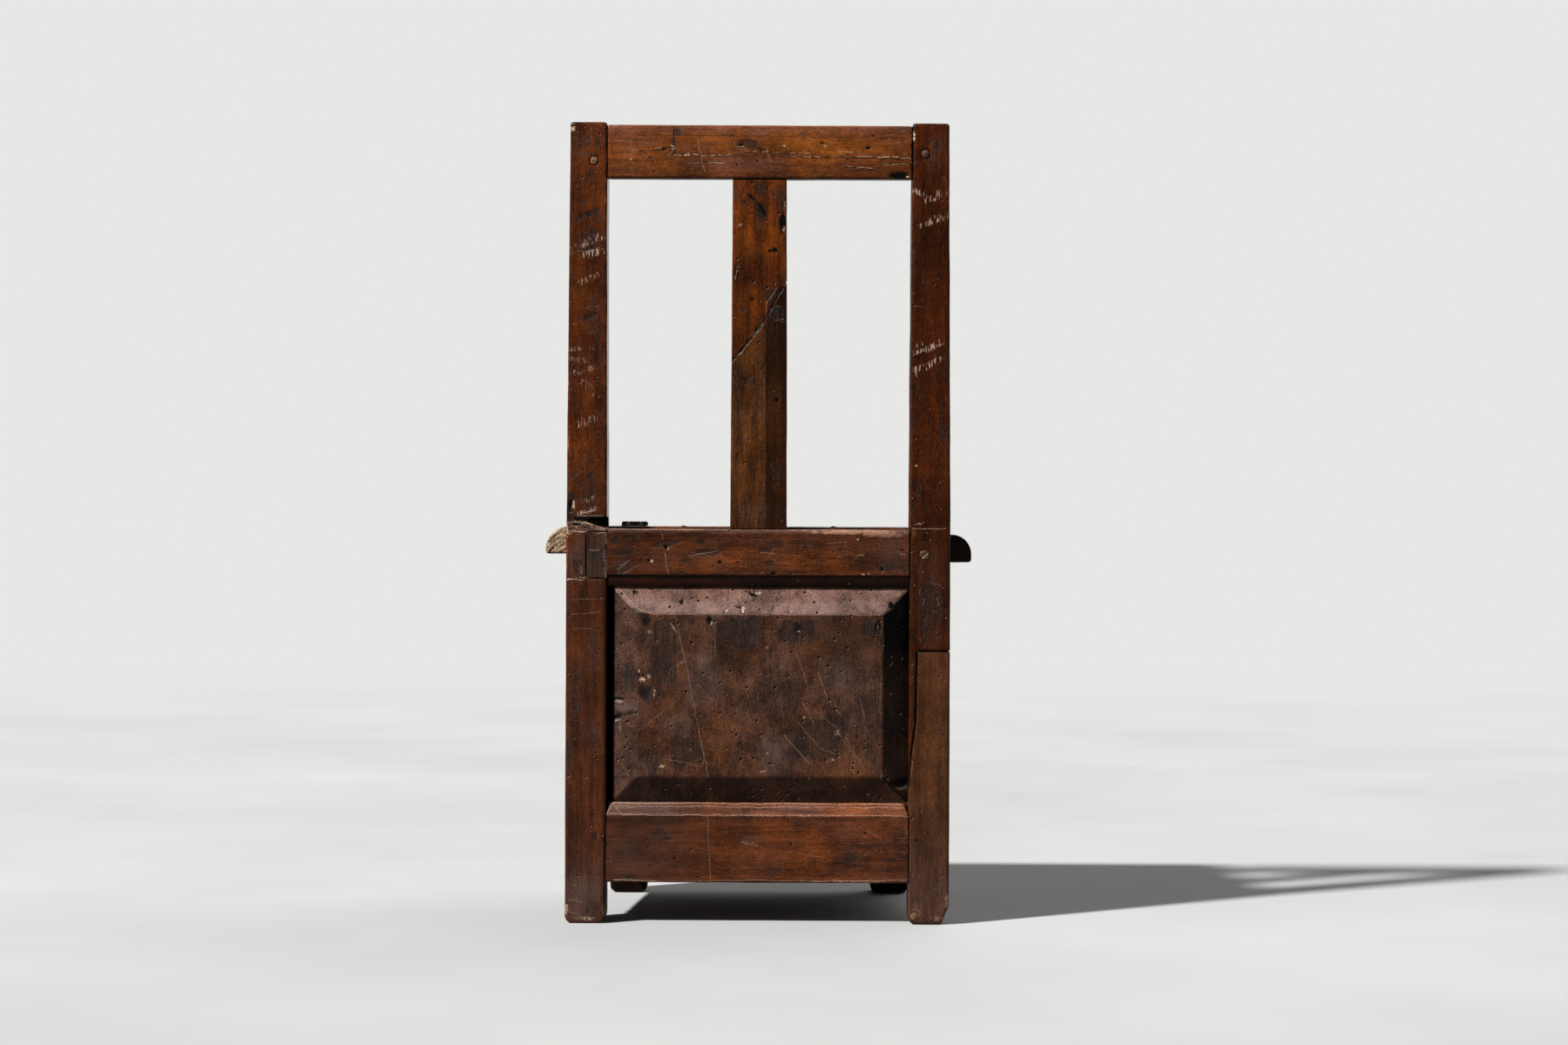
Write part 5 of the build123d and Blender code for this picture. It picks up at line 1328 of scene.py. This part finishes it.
PANEL_MARKS = marks(
    deep=(
        (154, 414, 2.7, 5, 0.9, 0.8, -70), (95, 402, 2.2, 3.8, 1, 1.5, -60), (91, 419, 2.7, 1.6, 0.9, 0.8),
        (134, 418, 3.8, 2.2, 0.6, 0.5), (71, 419, 2.7, 1.6, 0.7, 0.6), (24, 396, 1.5, 8, 0.7, 0.8, -80),
        (5, 411, 2.2, 7, 0.9, 1, -80), (11, 415, 3.3, 2.2, 0.6, 0.5), (-166, 399, 4, 5, 0.8, 0.8),
        (-38, 390, 2.2, 3.3, 0.5, 0.4), (140, 378, 9, 9, 0.6, 0.7), (60, 380, 3.8, 6, 0.9, 1),
        (32, 380, 4, 4, 0.6, 0.5), (-50, 369, 5, 11, 0.7, 0.7), (-151, 372, 3.3, 10, 1, 1.5),
        (148, 313, 1.6, 5, 0.8, 0.6), (142, 288, 9, 10, 0.6, 0.6), (175, 280, 8, 1.6, 1, 1.3),
        (176, 257, 7, 3.3, 1, 1.3, -20), (160, 263, 9, 3.3, 0.5, 0.5, -15), (-179, 176, 12, 6, 0.9, 1.6),
    ),
    pale=(
        (40, 392, 2.2, 3.3, 0.55, 0.6), (19, 393, 2.2, 4, 0.64, 0.5), (0, 413, 6, 1.5, 0.37),
        (105, 369, 3, 4, 0.32), (58, 376, 1.8, 3, 0.64), (-52, 366, 1.5, 2.2, 0.64),
        (-149, 372, 1.5, 5, 0.64), (-11, 346, 2.6, 3.7, 0.37, 0.3, -50), (144, 305, 3.7, 3, 1.1, 0.9),
        (136, 309, 2.6, 3, 0.83, 0.4), (148, 316, 1.5, 2.6, 0.83), (141, 327, 1.5, 2.2, 0.55),
        (129, 289, 1.5, 7, 0.55), (119, 197, 4, 2.2, 0.74, 0.4), (83, 218, 2.6, 1.8, 0.41),
        (-6, 191, 5, 1.5, 0.64, 0.3), (-12, 214, 2.2, 1.5, 0.83, 0.4), (-100, 240, 5, 4, 0.32),
        (-94, 206, 1.5, 1.8, 0.64), (-58, 259, 1.5, 1.8, 0.74), (-85, 288, 1.5, 2.2, 0.46),
        (-186, 168, 2.6, 3.7, 0.37),
    ),
    dark=(
        (-49, 413, 5, 3.8, 0.35), (150, 389, 12, 3.8, 0.6, 0.3, 25), (112, 375, 17, 8, 0.6),
        (82, 377, 5, 8, 0.55), (39, 374, 8, 6, 0.6), (6, 377, 10, 8, 0.85, 0.5), (21, 351, 14, 10, 0.6),
        (-36, 367, 9, 13, 0.75, 0.4), (-66, 371, 6, 9, 0.45), (115, 342, 21, 10, 0.6),
        (121, 322, 8, 14, 0.5), (128, 292, 6, 16, 0.75), (109, 314, 11, 5, 0.55, 0.3, -25),
        (164, 306, 5, 22, 0.5), (140, 207, 9, 6, 0.7), (89, 216, 21, 12, 0.85, 0.3), (80, 227, 5, 3.8, 0.6),
        (23, 225, 5, 5), (144, 344, 3.8, 16, 0.3), (117, 364, 29, 20, 0.5), (120, 319, 20, 26, 0.45),
        (134, 286, 15, 14, 0.5), (27, 366, 37, 18, 0.45), (-51, 366, 28, 18, 0.5), (-139, 370, 14, 15, 0.45),
        (-79, 232, 40, 30, 0.5), (89, 216, 27, 18, 0.5), (-141, 208, 15, 22, 0.3), (56, 306, 20, 22, 0.3),
        (133, 202, 15, 15, 0.4), (-107, 309, 11, 10, 0.35), (-69, 243, 16, 13, 0.6, 0, 30),
        (-93, 244, 21, 12, 0.6), (-78, 221, 23, 15, 0.6, 0.2, 38), (-53, 214, 14, 10, 0.4),
        (-18, 183, 16, 5, 0.3), (47, 186, 5, 2.7, 0.7),
    ),
    warm=(
        (105, 405, 49, 10, 0.4), (45, 411, 33, 6, 0.4), (-48, 405, 38, 10, 0.3), (107, 277, 12, 21, 0.5),
        (51, 225, 22, 36, 0.6), (10, 319, 25, 36, 0.5), (-139, 331, 15, 19, 0.4), (-57, 262, 20, 10, 0.4),
    ),
    dull=(
        (145, 399, 24, 8, 0.6), (80, 394, 19, 6, 0.6), (39, 396, 16, 8, 0.35), (-127, 398, 33, 9),
        (-162, 414, 22, 5, 0.5), (5, 357, 9, 12, 0.7), (165, 269, 15, 7, 1, -0.5), (66, 304, 29, 37, 0.7),
        (-23, 214, 24, 29, 0.9), (-101, 314, 21, 19, 0.6), (101, 246, 24, 16, 0.6),
    ),
    worn=((135, 365, 3.3, 3.8, 0.9), (-154, 290, 3.3, 38, 0.5), (-159, 186, 8, 11, 0.7, 0.5)),
)
PANEL_SCRATCHES = lines(
    (0.8, 0.6, 178, 421, 169, 413, 160, 402, 147, 392, 132, 388), (0.8, 0.6, 110, 376, 102, 365),
    (0.6, 0.45, 132, 387, 34, 387, -64, 387, -153, 387),
    (0.5, 0.4, 102, 382, 96, 351, 88, 316, 78, 265, 72, 236, 61, 183),
    (0.5, 0.3, 147, 243, 125, 259, 100, 281), (0.5, 0.3, 115, 315, 90, 328), (0.5, 0.3, 54, 382, 53, 336),
    (0.5, 0.3, -47, 340, -53, 326, -63, 295), (0.5, 0.45, -56, 277, -69, 253),
    (0.5, 0.45, -75, 315, -84, 290, -88, 281), (0.5, 0.35, -94, 292, -98, 269, -104, 262),
    (0.5, 0.35, -126, 283, -136, 252), (0.5, 0.45, -32, 238, -59, 208, -65, 200),
    (0.5, 0.35, -49, 254, -75, 224), (0.5, 0.3, -72, 267, -97, 247, -121, 210),
    (0.5, 0.3, -110, 234, -126, 206, -134, 195), (0.5, 0.3, -77, 221, -99, 213),
    (0.4, 0.3, -121, 213, -120, 189), (0.4, 0.2, 74, 298, 43, 267), (0.5, 0.3, 112, 206, 69, 197),
    (0.4, 0.2, 27, 317, 10, 278),
)
PANEL_CRACKS = lines(
    (0.9, 0.9, 153, 420, 156, 408), (1.2, 1, 94, 407, 96, 399), (0.9, 0.9, 5, 419, 5, 403),
    (0.8, 0.8, 25, 404, 22, 389), (0.9, 0.8, 183, 280, 151, 282), (1.2, 0.9, 182, 255, 170, 260),
    (0.8, 0.6, 170, 260, 150, 265), (0.8, 0.7, 40, 395, 42, 387), (0.6, 0.5, -40, 419, -38, 387),
    (0.8, 0.7, 61, 419, 62, 413),
)
LEFT_SHADES = (
    (0, 0.95), (300, 1.05), (355, 0.8), (409, 0.8), (464, 1.25), (518, 1.2), (573, 1.35), (627, 1.05),
    (681, 0.8), (736, 0.75), (790, 0.68), (844, 0.72), (899, 0.88), (950, 1.1), (980, 1.3),
)
RIGHT_SHADES = (
    (172, 1), (409, 0.95), (490, 0.85), (518, 1), (573, 1.25), (627, 1), (736, 0.9), (790, 0.75), (844, 0.8),
    (899, 1.05), (980, 1.15),
)
SPLAT_SHADES = ((701, 0.8), (769, 0.7), (812, 0.75), (856, 0.85), (890, 1.2), (951, 1.35))
REPAIR_SHADES = ((508, 1), (551, 1.15), (595, 1.3), (638, 1.3), (682, 1.05), (802, 1))
SEAT_RAIL_SHADES = (
    (-219, 0.9), (-150, 0.95), (-80, 1.15), (-20, 1.3), (30, 1.15), (70, 0.9), (120, 0.8), (219, 0.7),
)
BOTTOM_RAIL_SHADES = ((-219, 0.95), (-150, 1.2), (-60, 1.1), (0, 0.9), (60, 0.78), (150, 0.7), (219, 0.7))


@dataclass
class RearPosts:
    """The two rear stiles with their graft and patch."""

    left: Wood = Wood(
        "left_post_walnut", linear(98, 46, 15), linear(46, 20, 7), Grain.UPRIGHT, linear(104, 50, 13),
        stains=0.3, scratches=LEFT_SCRATCHES, cracks=LEFT_CRACKS, rubs=LEFT_RUBS,
    )
    right: Wood = Wood(
        "right_post_walnut", linear(77, 31, 4), linear(34, 13, 2), Grain.UPRIGHT, linear(82, 34, 5),
        linear(62, 37, 26), bloom=0.06, stains=0.3, scratches=RIGHT_SCRATCHES, rubs=RIGHT_RUBS,
    )
    newer: Wood = Wood(
        "graft_walnut", linear(87, 47, 18), linear(46, 24, 9), Grain.UPRIGHT, linear(90, 48, 15), stains=0.15,
    )
    fine: float = 1.75
    seat_dust: Span = (500, 440)
    foot_dust: Span = (140, 0)
    hollow: Span = (496, 510)
    hollow_side: Span = (234, 228)
    ledge: Span = (486, 501)
    filler_top: Span = (472, 462)
    filler_side: Span = (196, 192)

    def build(self) -> None:
        """Make the posts."""
        self.post("rear_stile_left", "post_wood", self.left, LEFT_MARKS)
        self.post("rear_stile_right", "post_wood", self.right, RIGHT_MARKS)
        self.post("rear_stile_right_graft", "graft_wood", self.newer, GRAFT_MARKS)
        patch = worn_shape("stile_mortise_patch", self.left, voxel=1.0, soft=0)
        filler = rise(patch.height + 9 * patch.ragged, *self.filler_top)
        filler += rise(patch.across, *self.filler_side)
        patch.paint["dull"] += 0.5 + filler * 0.3
        patch.paint["worn"] += filler * 0.25
        patch.paint["dark"] += 0.24 + filler * 0.22
        patch.paint["deep"] *= 0.5
        patch.finish("wood", "frame", "post_wood", self.left.material())

    def post(self, node: str, slot: str, wood: Wood, places: tuple[Mark, ...]) -> None:
        """One rear post, duller and dustier below the seat than above it."""
        shape = worn_shape(node, wood, voxel=self.fine, soft=3, places=places)
        shape.paint["dull"] += rise(shape.height, *self.seat_dust) * 0.2
        shape.paint["dull"] += rise(shape.height, *self.foot_dust) * 0.5
        if node == "rear_stile_left":
            shape.shade(2, *LEFT_SHADES)
            self.break_edges(shape)
        elif node == "rear_stile_right":
            shape.shade(2, *RIGHT_SHADES)
        shape.finish("wood", "frame", slot, wood.material())

    def break_edges(self, shape: WornMesh) -> None:
        """Blackened hollow of the old break at seat height as painted shade, and its pale torn rims."""
        # Painted shade: the break's inner faces blackened.
        inside = within(shape.height, *self.hollow, ease=3) * rise(shape.across, *self.hollow_side)
        shape.paint["deep"] += inside * 1.5
        ledge = within(shape.height, *self.ledge, ease=3) * rise(shape.normals[:, 1], 0.0, 0.5)
        rough = rough_noise(shape.points, 6 * MM, seed=19)
        shape.push(-0.9 * MM * ledge * rise(rough, -0.2, 0.4))
        shape.paint["dull"] += ledge * 1.2
        shape.paint["worn"] += ledge * (0.45 + 0.4 * rough)
        shape.paint["dark"] += ledge * rise(rough, 0.3, -0.3) * 0.45


@dataclass
class Back:
    """Top rail and splat."""

    rail: Wood = Wood(
        "top_rail_walnut", linear(126, 67, 31), linear(62, 30, 12), Grain.ACROSS, linear(128, 69, 21),
        linear(106, 72, 60), scratches=RAIL_SCRATCHES, cracks=RAIL_CRACKS, fillers=RAIL_FILLERS,
    )
    splat: Wood = Wood(
        "splat_walnut", linear(108, 49, 10), linear(50, 21, 5), Grain.UPRIGHT, linear(116, 56, 10),
        bloom=0.08, scratches=SPLAT_SCRATCHES, worm=1.7,
    )
    repair: Wood = Wood(
        "splat_repair_wood", linear(98, 55, 22), linear(48, 25, 8), Grain.UPRIGHT, linear(84, 42, 9),
        scratches=REPAIR_SCRATCHES,
    )
    sheen_top_edge: Span = (982, 987)
    glue_line: Span = (-6.8, -8.8)

    def build(self) -> None:
        """Make both."""
        rail = worn_shape("top_rail", self.rail, voxel=1.75, soft=3, places=RAIL_MARKS)
        # Painted sheen along the rounded top edge: a little lighter and greyed.
        rubbed = rise(rail.height, *self.sheen_top_edge)
        rail.paint["dull"] += rubbed * 0.35
        rail.paint["tone"] += rubbed * 0.12
        rail.finish("wood", "frame", "top_rail_wood", self.rail.material())
        splat = worn_shape("splat", self.splat, voxel=1.5, soft=2, places=SPLAT_MARKS)
        splat.shade(2, *SPLAT_SHADES)
        splat.finish("wood", "frame", "splat_wood", self.splat.material())
        repair = worn_shape("splat_repair", self.repair, voxel=1.5, soft=2, places=REPAIR_MARKS)
        repair.shade(2, *REPAIR_SHADES)
        right = rise(repair.across, *self.glue_line)
        repair.paint["tone"] *= 1 - 0.73 * right
        repair.paint["warm"] += right
        repair.finish("wood", "frame", "splat_repair_wood", self.repair.material())


@dataclass
class Box:
    """The panelled box under the seat."""

    rails: Wood = Wood(
        "rail_walnut", linear(102, 54, 30), linear(50, 25, 14), Grain.ACROSS, linear(104, 52, 18),
    )
    panels: Wood = Wood(
        "panel_walnut", linear(88, 56, 40), linear(42, 25, 18), Grain.UPRIGHT, linear(90, 52, 26),
        linear(86, 66, 60), mottle=0.8, bloom=0.25, gloss=0.36,
    )
    legs: Wood = Wood("leg_walnut", linear(96, 48, 24), linear(46, 22, 11), Grain.UPRIGHT, linear(98, 48, 16))
    foot_shadow: Span = (120, 60)
    seat_rail_lit_top: Span = (487, 490)
    seat_rail_moulding_shade: Span = (437, 434.5)
    seat_rail_bead: Span = (432, 430)
    bead_lit: Span = (0, 60)
    bottom_rail_lit_moulding: Span = (134, 137)
    bottom_rail_left: Span = (40, 150)
    bottom_rail_right: Span = (-40, -100)
    bevel_slope: Span = (0.08, 0.16)
    bevel_sheen: Span = (408, 392)
    bevel_right: Span = (-70, -105)
    dark_corner: tuple[Span, Span] = ((-30, -110), (300, 370))

    def build(self) -> None:
        """Make rails, panels and front legs."""
        self.rear_seat_rail()
        self.rear_bottom_rail()
        self.rear_panel()
        for node in ("front_seat_rail", "front_bottom_rail"):
            worn_piece(node, self.rails, voxel=2.0, body="frame", slot="rail_wood")
        calm = replace(self.panels, name="other_panel_walnut", mottle=0.3, bloom=0.15, stains=0.3)
        worn_piece("front_panel", calm, voxel=2.6, body="frame", slot="panel_wood")
        side_rails = replace(self.rails, name="side_rail_walnut", grain=Grain.DEEP)
        for side in ("left", "right"):
            leg = worn_shape(f"front_leg_{side}", self.legs, voxel=2.2, soft=2)
            leg.paint["tone"] *= 1 - 0.9 * leg.facing((0, 1, 0)) * rise(leg.height, *self.foot_shadow)
            leg.finish("wood", "frame", "post_wood", self.legs.material())
            worn_piece(f"side_seat_rail_{side}", side_rails, voxel=2.0, body="frame", slot="rail_wood")
            worn_piece(f"side_bottom_rail_{side}", side_rails, voxel=2.0, body="frame", slot="rail_wood")
            worn_piece(f"side_panel_{side}", calm, voxel=2.6, body="frame", slot="panel_wood")

    def rear_seat_rail(self) -> None:
        """Upper rear rail: worn top edge with a painted highlight along it, painted shade over the moulding
        below, less on the lit part of the bead.
        """
        wood = replace(self.rails, name="rear_seat_rail_walnut", scratches=SEAT_RAIL_SCRATCHES)
        shape = worn_shape("rear_seat_rail", wood, voxel=1.25, soft=1, places=SEAT_RAIL_MARKS)
        shape.shade(0, *SEAT_RAIL_SHADES)
        # Painted shade over the moulding under the rail, weaker on the part of the bead that is lit.
        bead = rise(shape.height, *self.seat_rail_bead) * rise(shape.across, *self.bead_lit)
        shape.paint["tone"] *= 1 - (0.82 - 0.3 * bead) * rise(shape.height, *self.seat_rail_moulding_shade)
        # Painted highlight along the rail's upward face, greyed.
        edge = rise(shape.height + 4 * shape.ragged, *self.seat_rail_lit_top)
        shape.paint["tone"] += edge * 0.75
        shape.paint["dull"] += edge * 1.1
        shape.finish("wood", "frame", "rail_wood", wood.material())

    def rear_bottom_rail(self) -> None:
        """Lower rear rail: painted highlight on the moulding above, greyer on the left."""
        wood = replace(self.rails, name="rear_bottom_rail_walnut", scratches=BOTTOM_RAIL_SCRATCHES)
        shape = worn_shape("rear_bottom_rail", wood, voxel=1.35, soft=1, places=BOTTOM_RAIL_MARKS)
        # The moulded top edge faces up: lightened, greyed and warmed as a painted highlight, less towards the
        # ends.
        high = rise(shape.height, *self.bottom_rail_lit_moulding)
        left, right = (rise(shape.across, *span) for span in (self.bottom_rail_left, self.bottom_rail_right))
        shape.shade(0, *BOTTOM_RAIL_SHADES)
        shape.paint["dull"] += high * (0.35 + 0.9 * left) + left * 0.4
        shape.paint["warm"] += high * (1 - left) * 0.5
        shape.paint["tone"] += high * (2.25 - 0.9 * left - 0.7 * right)
        shape.finish("wood", "frame", "rail_wood", wood.material())

    def rear_panel(self) -> None:
        """Rear panel: painted highlight and grey sheen on its upper bevel, painted shade on its right and
        lower ones and a little on its left one.
        """
        wood = replace(
            self.panels, name="rear_panel_walnut", scratches=PANEL_SCRATCHES, cracks=PANEL_CRACKS, worm=1.8,
        )
        shape = worn_shape("rear_panel", wood, voxel=1.6, soft=1, places=PANEL_MARKS)
        back = rise(shape.normals[:, 1], 0.3, 0.6)
        smooth = shape.normals.copy()
        for _ in range(4):
            smooth = shape.mean(smooth)
        slopes = {"up": smooth[:, 2], "down": -smooth[:, 2], "left": smooth[:, 0], "right": -smooth[:, 0]}
        bevel = {name: rise(slope, *self.bevel_slope) * back for name, slope in slopes.items()}
        dark_across, dark_up = self.dark_corner
        corner = rise(shape.across, *dark_across) * rise(shape.height, *dark_up)
        dim = rise(shape.across, *self.bevel_right)
        shape.paint["tone"] *= 1 - 0.35 * corner * (1 - bevel["up"])
        # Painted highlight on the upper bevel, fading towards the right, and painted shade on the lower,
        # right and left bevels.
        shape.paint["tone"] += (1.66 - dim) * bevel["up"] - 0.45 * bevel["down"] - 0.72 * bevel["right"]
        shape.paint["tone"] -= 0.18 * bevel["left"]
        # Painted grey sheen on the upper bevel, stronger near its lower edge, and a little on the left bevel.
        grey = 0.8 + 0.9 * rise(shape.height, *self.bevel_sheen)
        shape.paint["dull"] += grey * bevel["up"] + 0.3 * bevel["left"]
        shape.finish("wood", "frame", "panel_wood", wood.material())


@dataclass
class Seat:
    """Fixed strip with its ears, the lid and the inside of the box."""

    boards: Wood = Wood(
        "seat_walnut", linear(104, 58, 34), linear(48, 25, 14), Grain.ACROSS, linear(106, 56, 22),
    )
    battens: Wood = Wood("batten_wood", linear(108, 70, 42), linear(62, 38, 22), Grain.DEEP)
    inner: Wood = Wood("inner_wood", linear(128, 96, 66), linear(86, 60, 40), Grain.ACROSS)
    floor: Wood = Wood("floor_wood", linear(128, 96, 66), linear(86, 60, 40), Grain.DEEP)
    ear_root: Span = (238, 450)
    left_ear: Span = (240.5, 243)
    shaded_right_ear: Span = (-240, -242)

    def build(self) -> None:
        """Make the boards."""
        self.strip()
        worn_piece("lid_rear_board", self.boards, voxel=2.2, body="lid", slot="seat_wood")
        worn_piece("lid_front_board", self.boards, voxel=2.2, body="lid", slot="seat_wood")
        for side in ("left", "right"):
            worn_piece(f"lid_batten_{side}", self.battens, voxel=2.0, body="lid", slot="inner_wood")
            worn_piece(f"floor_board_{side}", self.floor, voxel=3.0, body="frame", slot="inner_wood")
        for node in ("strip_ledger", "floor_ledger_rear", "floor_ledger_front"):
            worn_piece(node, self.inner, voxel=2.0, body="frame", slot="inner_wood")

    def strip(self) -> None:
        """Fixed strip: its left ear broken and bare, its right ear darkened with painted shade."""
        shape = worn_shape("rear_seat_strip", self.boards, voxel=1.6, soft=2)
        x, y, z = shape.points.T / MM
        out, up = x - self.ear_root[0], z - self.ear_root[1]
        reach, turn = np.hypot(out, up), np.arctan2(up, out)
        fibres = rough_noise(np.stack([reach, 0.16 * reach * turn, y], axis=1) * MM, 2.4 * MM, seed=31)
        bare, black = rise(x, *self.left_ear), rise(x, *self.shaded_right_ear)
        shape.push(-MM * bare * rise(fibres, -0.1, 0.5) * 1.6)
        shape.paint["pale"] += bare * (1.15 - 0.75 * rise(fibres, -0.15, 0.4))
        shape.paint["deep"] += bare * rise(fibres, 0.1, 0.5) * 0.6
        # The right ear is darkened as painted shade; the bare left ear a little darker.
        shape.paint["tone"] -= bare * 0.27 + black * 0.8
        shape.finish("wood", "frame", "seat_wood", self.boards.material())


@dataclass
class Fastenings:
    """Hinges, nails, pegs and the screw."""

    iron: Iron = Iron("hinge_iron")
    nail_iron: Iron = Iron("nail_iron", rusty=0.6)
    screw_metal: Iron = Iron("screw_brass", linear(122, 96, 74), linear(58, 36, 26), 0.6)
    old_pegs: Wood = Wood("peg_walnut", linear(80, 50, 34), linear(44, 26, 18), Grain.DEEP, worm=0)

    def build(self) -> None:
        """Make them."""
        iron = self.iron.material()
        for side in ("left", "right"):
            for kind, body in (("fixed", "frame"), ("moving", "lid")):
                node = f"hinge_{kind}_leaf_{side}"
                shape = WornMesh(node, 0.5)
                shape.soften(2)
                shape.finish("iron", body, "hinge_iron", iron)
        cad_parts["hinge_pins"].data.materials.clear()
        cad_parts["hinge_pins"].data.materials.append(iron)
        shape = WornMesh("stile_screw", 0.4)
        shape.soften(1)
        shape.finish("metal", "frame", "screw_metal", self.screw_metal.material())
        pegs = Recipe("pegs", Head.PEG, self.old_pegs.material())
        for node in ("front_pegs", "side_pegs"):
            pegs.set(node, "frame", "peg_wood", uneven=0.5)
        faces = {"worn": (0.3, 0.55), "dull": (1.0, 0.8), "tone": (1.0, 1.55)}
        pegs.set("back_pegs", "frame", "peg_wood", uneven=0.25, paint=faces)
        nails = Recipe("nails", Head.NAIL, self.nail_iron.material())
        for node in ("strip_nails", "ledger_nails", "floor_nails", "hinge_nails_frame"):
            nails.set(node, "frame", "nail_iron", uneven=0.3)
        for node in ("lid_nails", "hinge_nails_lid"):
            nails.set(node, "lid", "nail_iron", uneven=0.3)


def main() -> None:
    """Build the room and every part of the chair."""
    Studio().build()
    log.info("room built")
    for part in (RearPosts(), Back(), Box(), Seat(), Fastenings()):
        part.build()
        log.info("%s built", type(part).__name__)


if __name__ == "__main__":
    main()
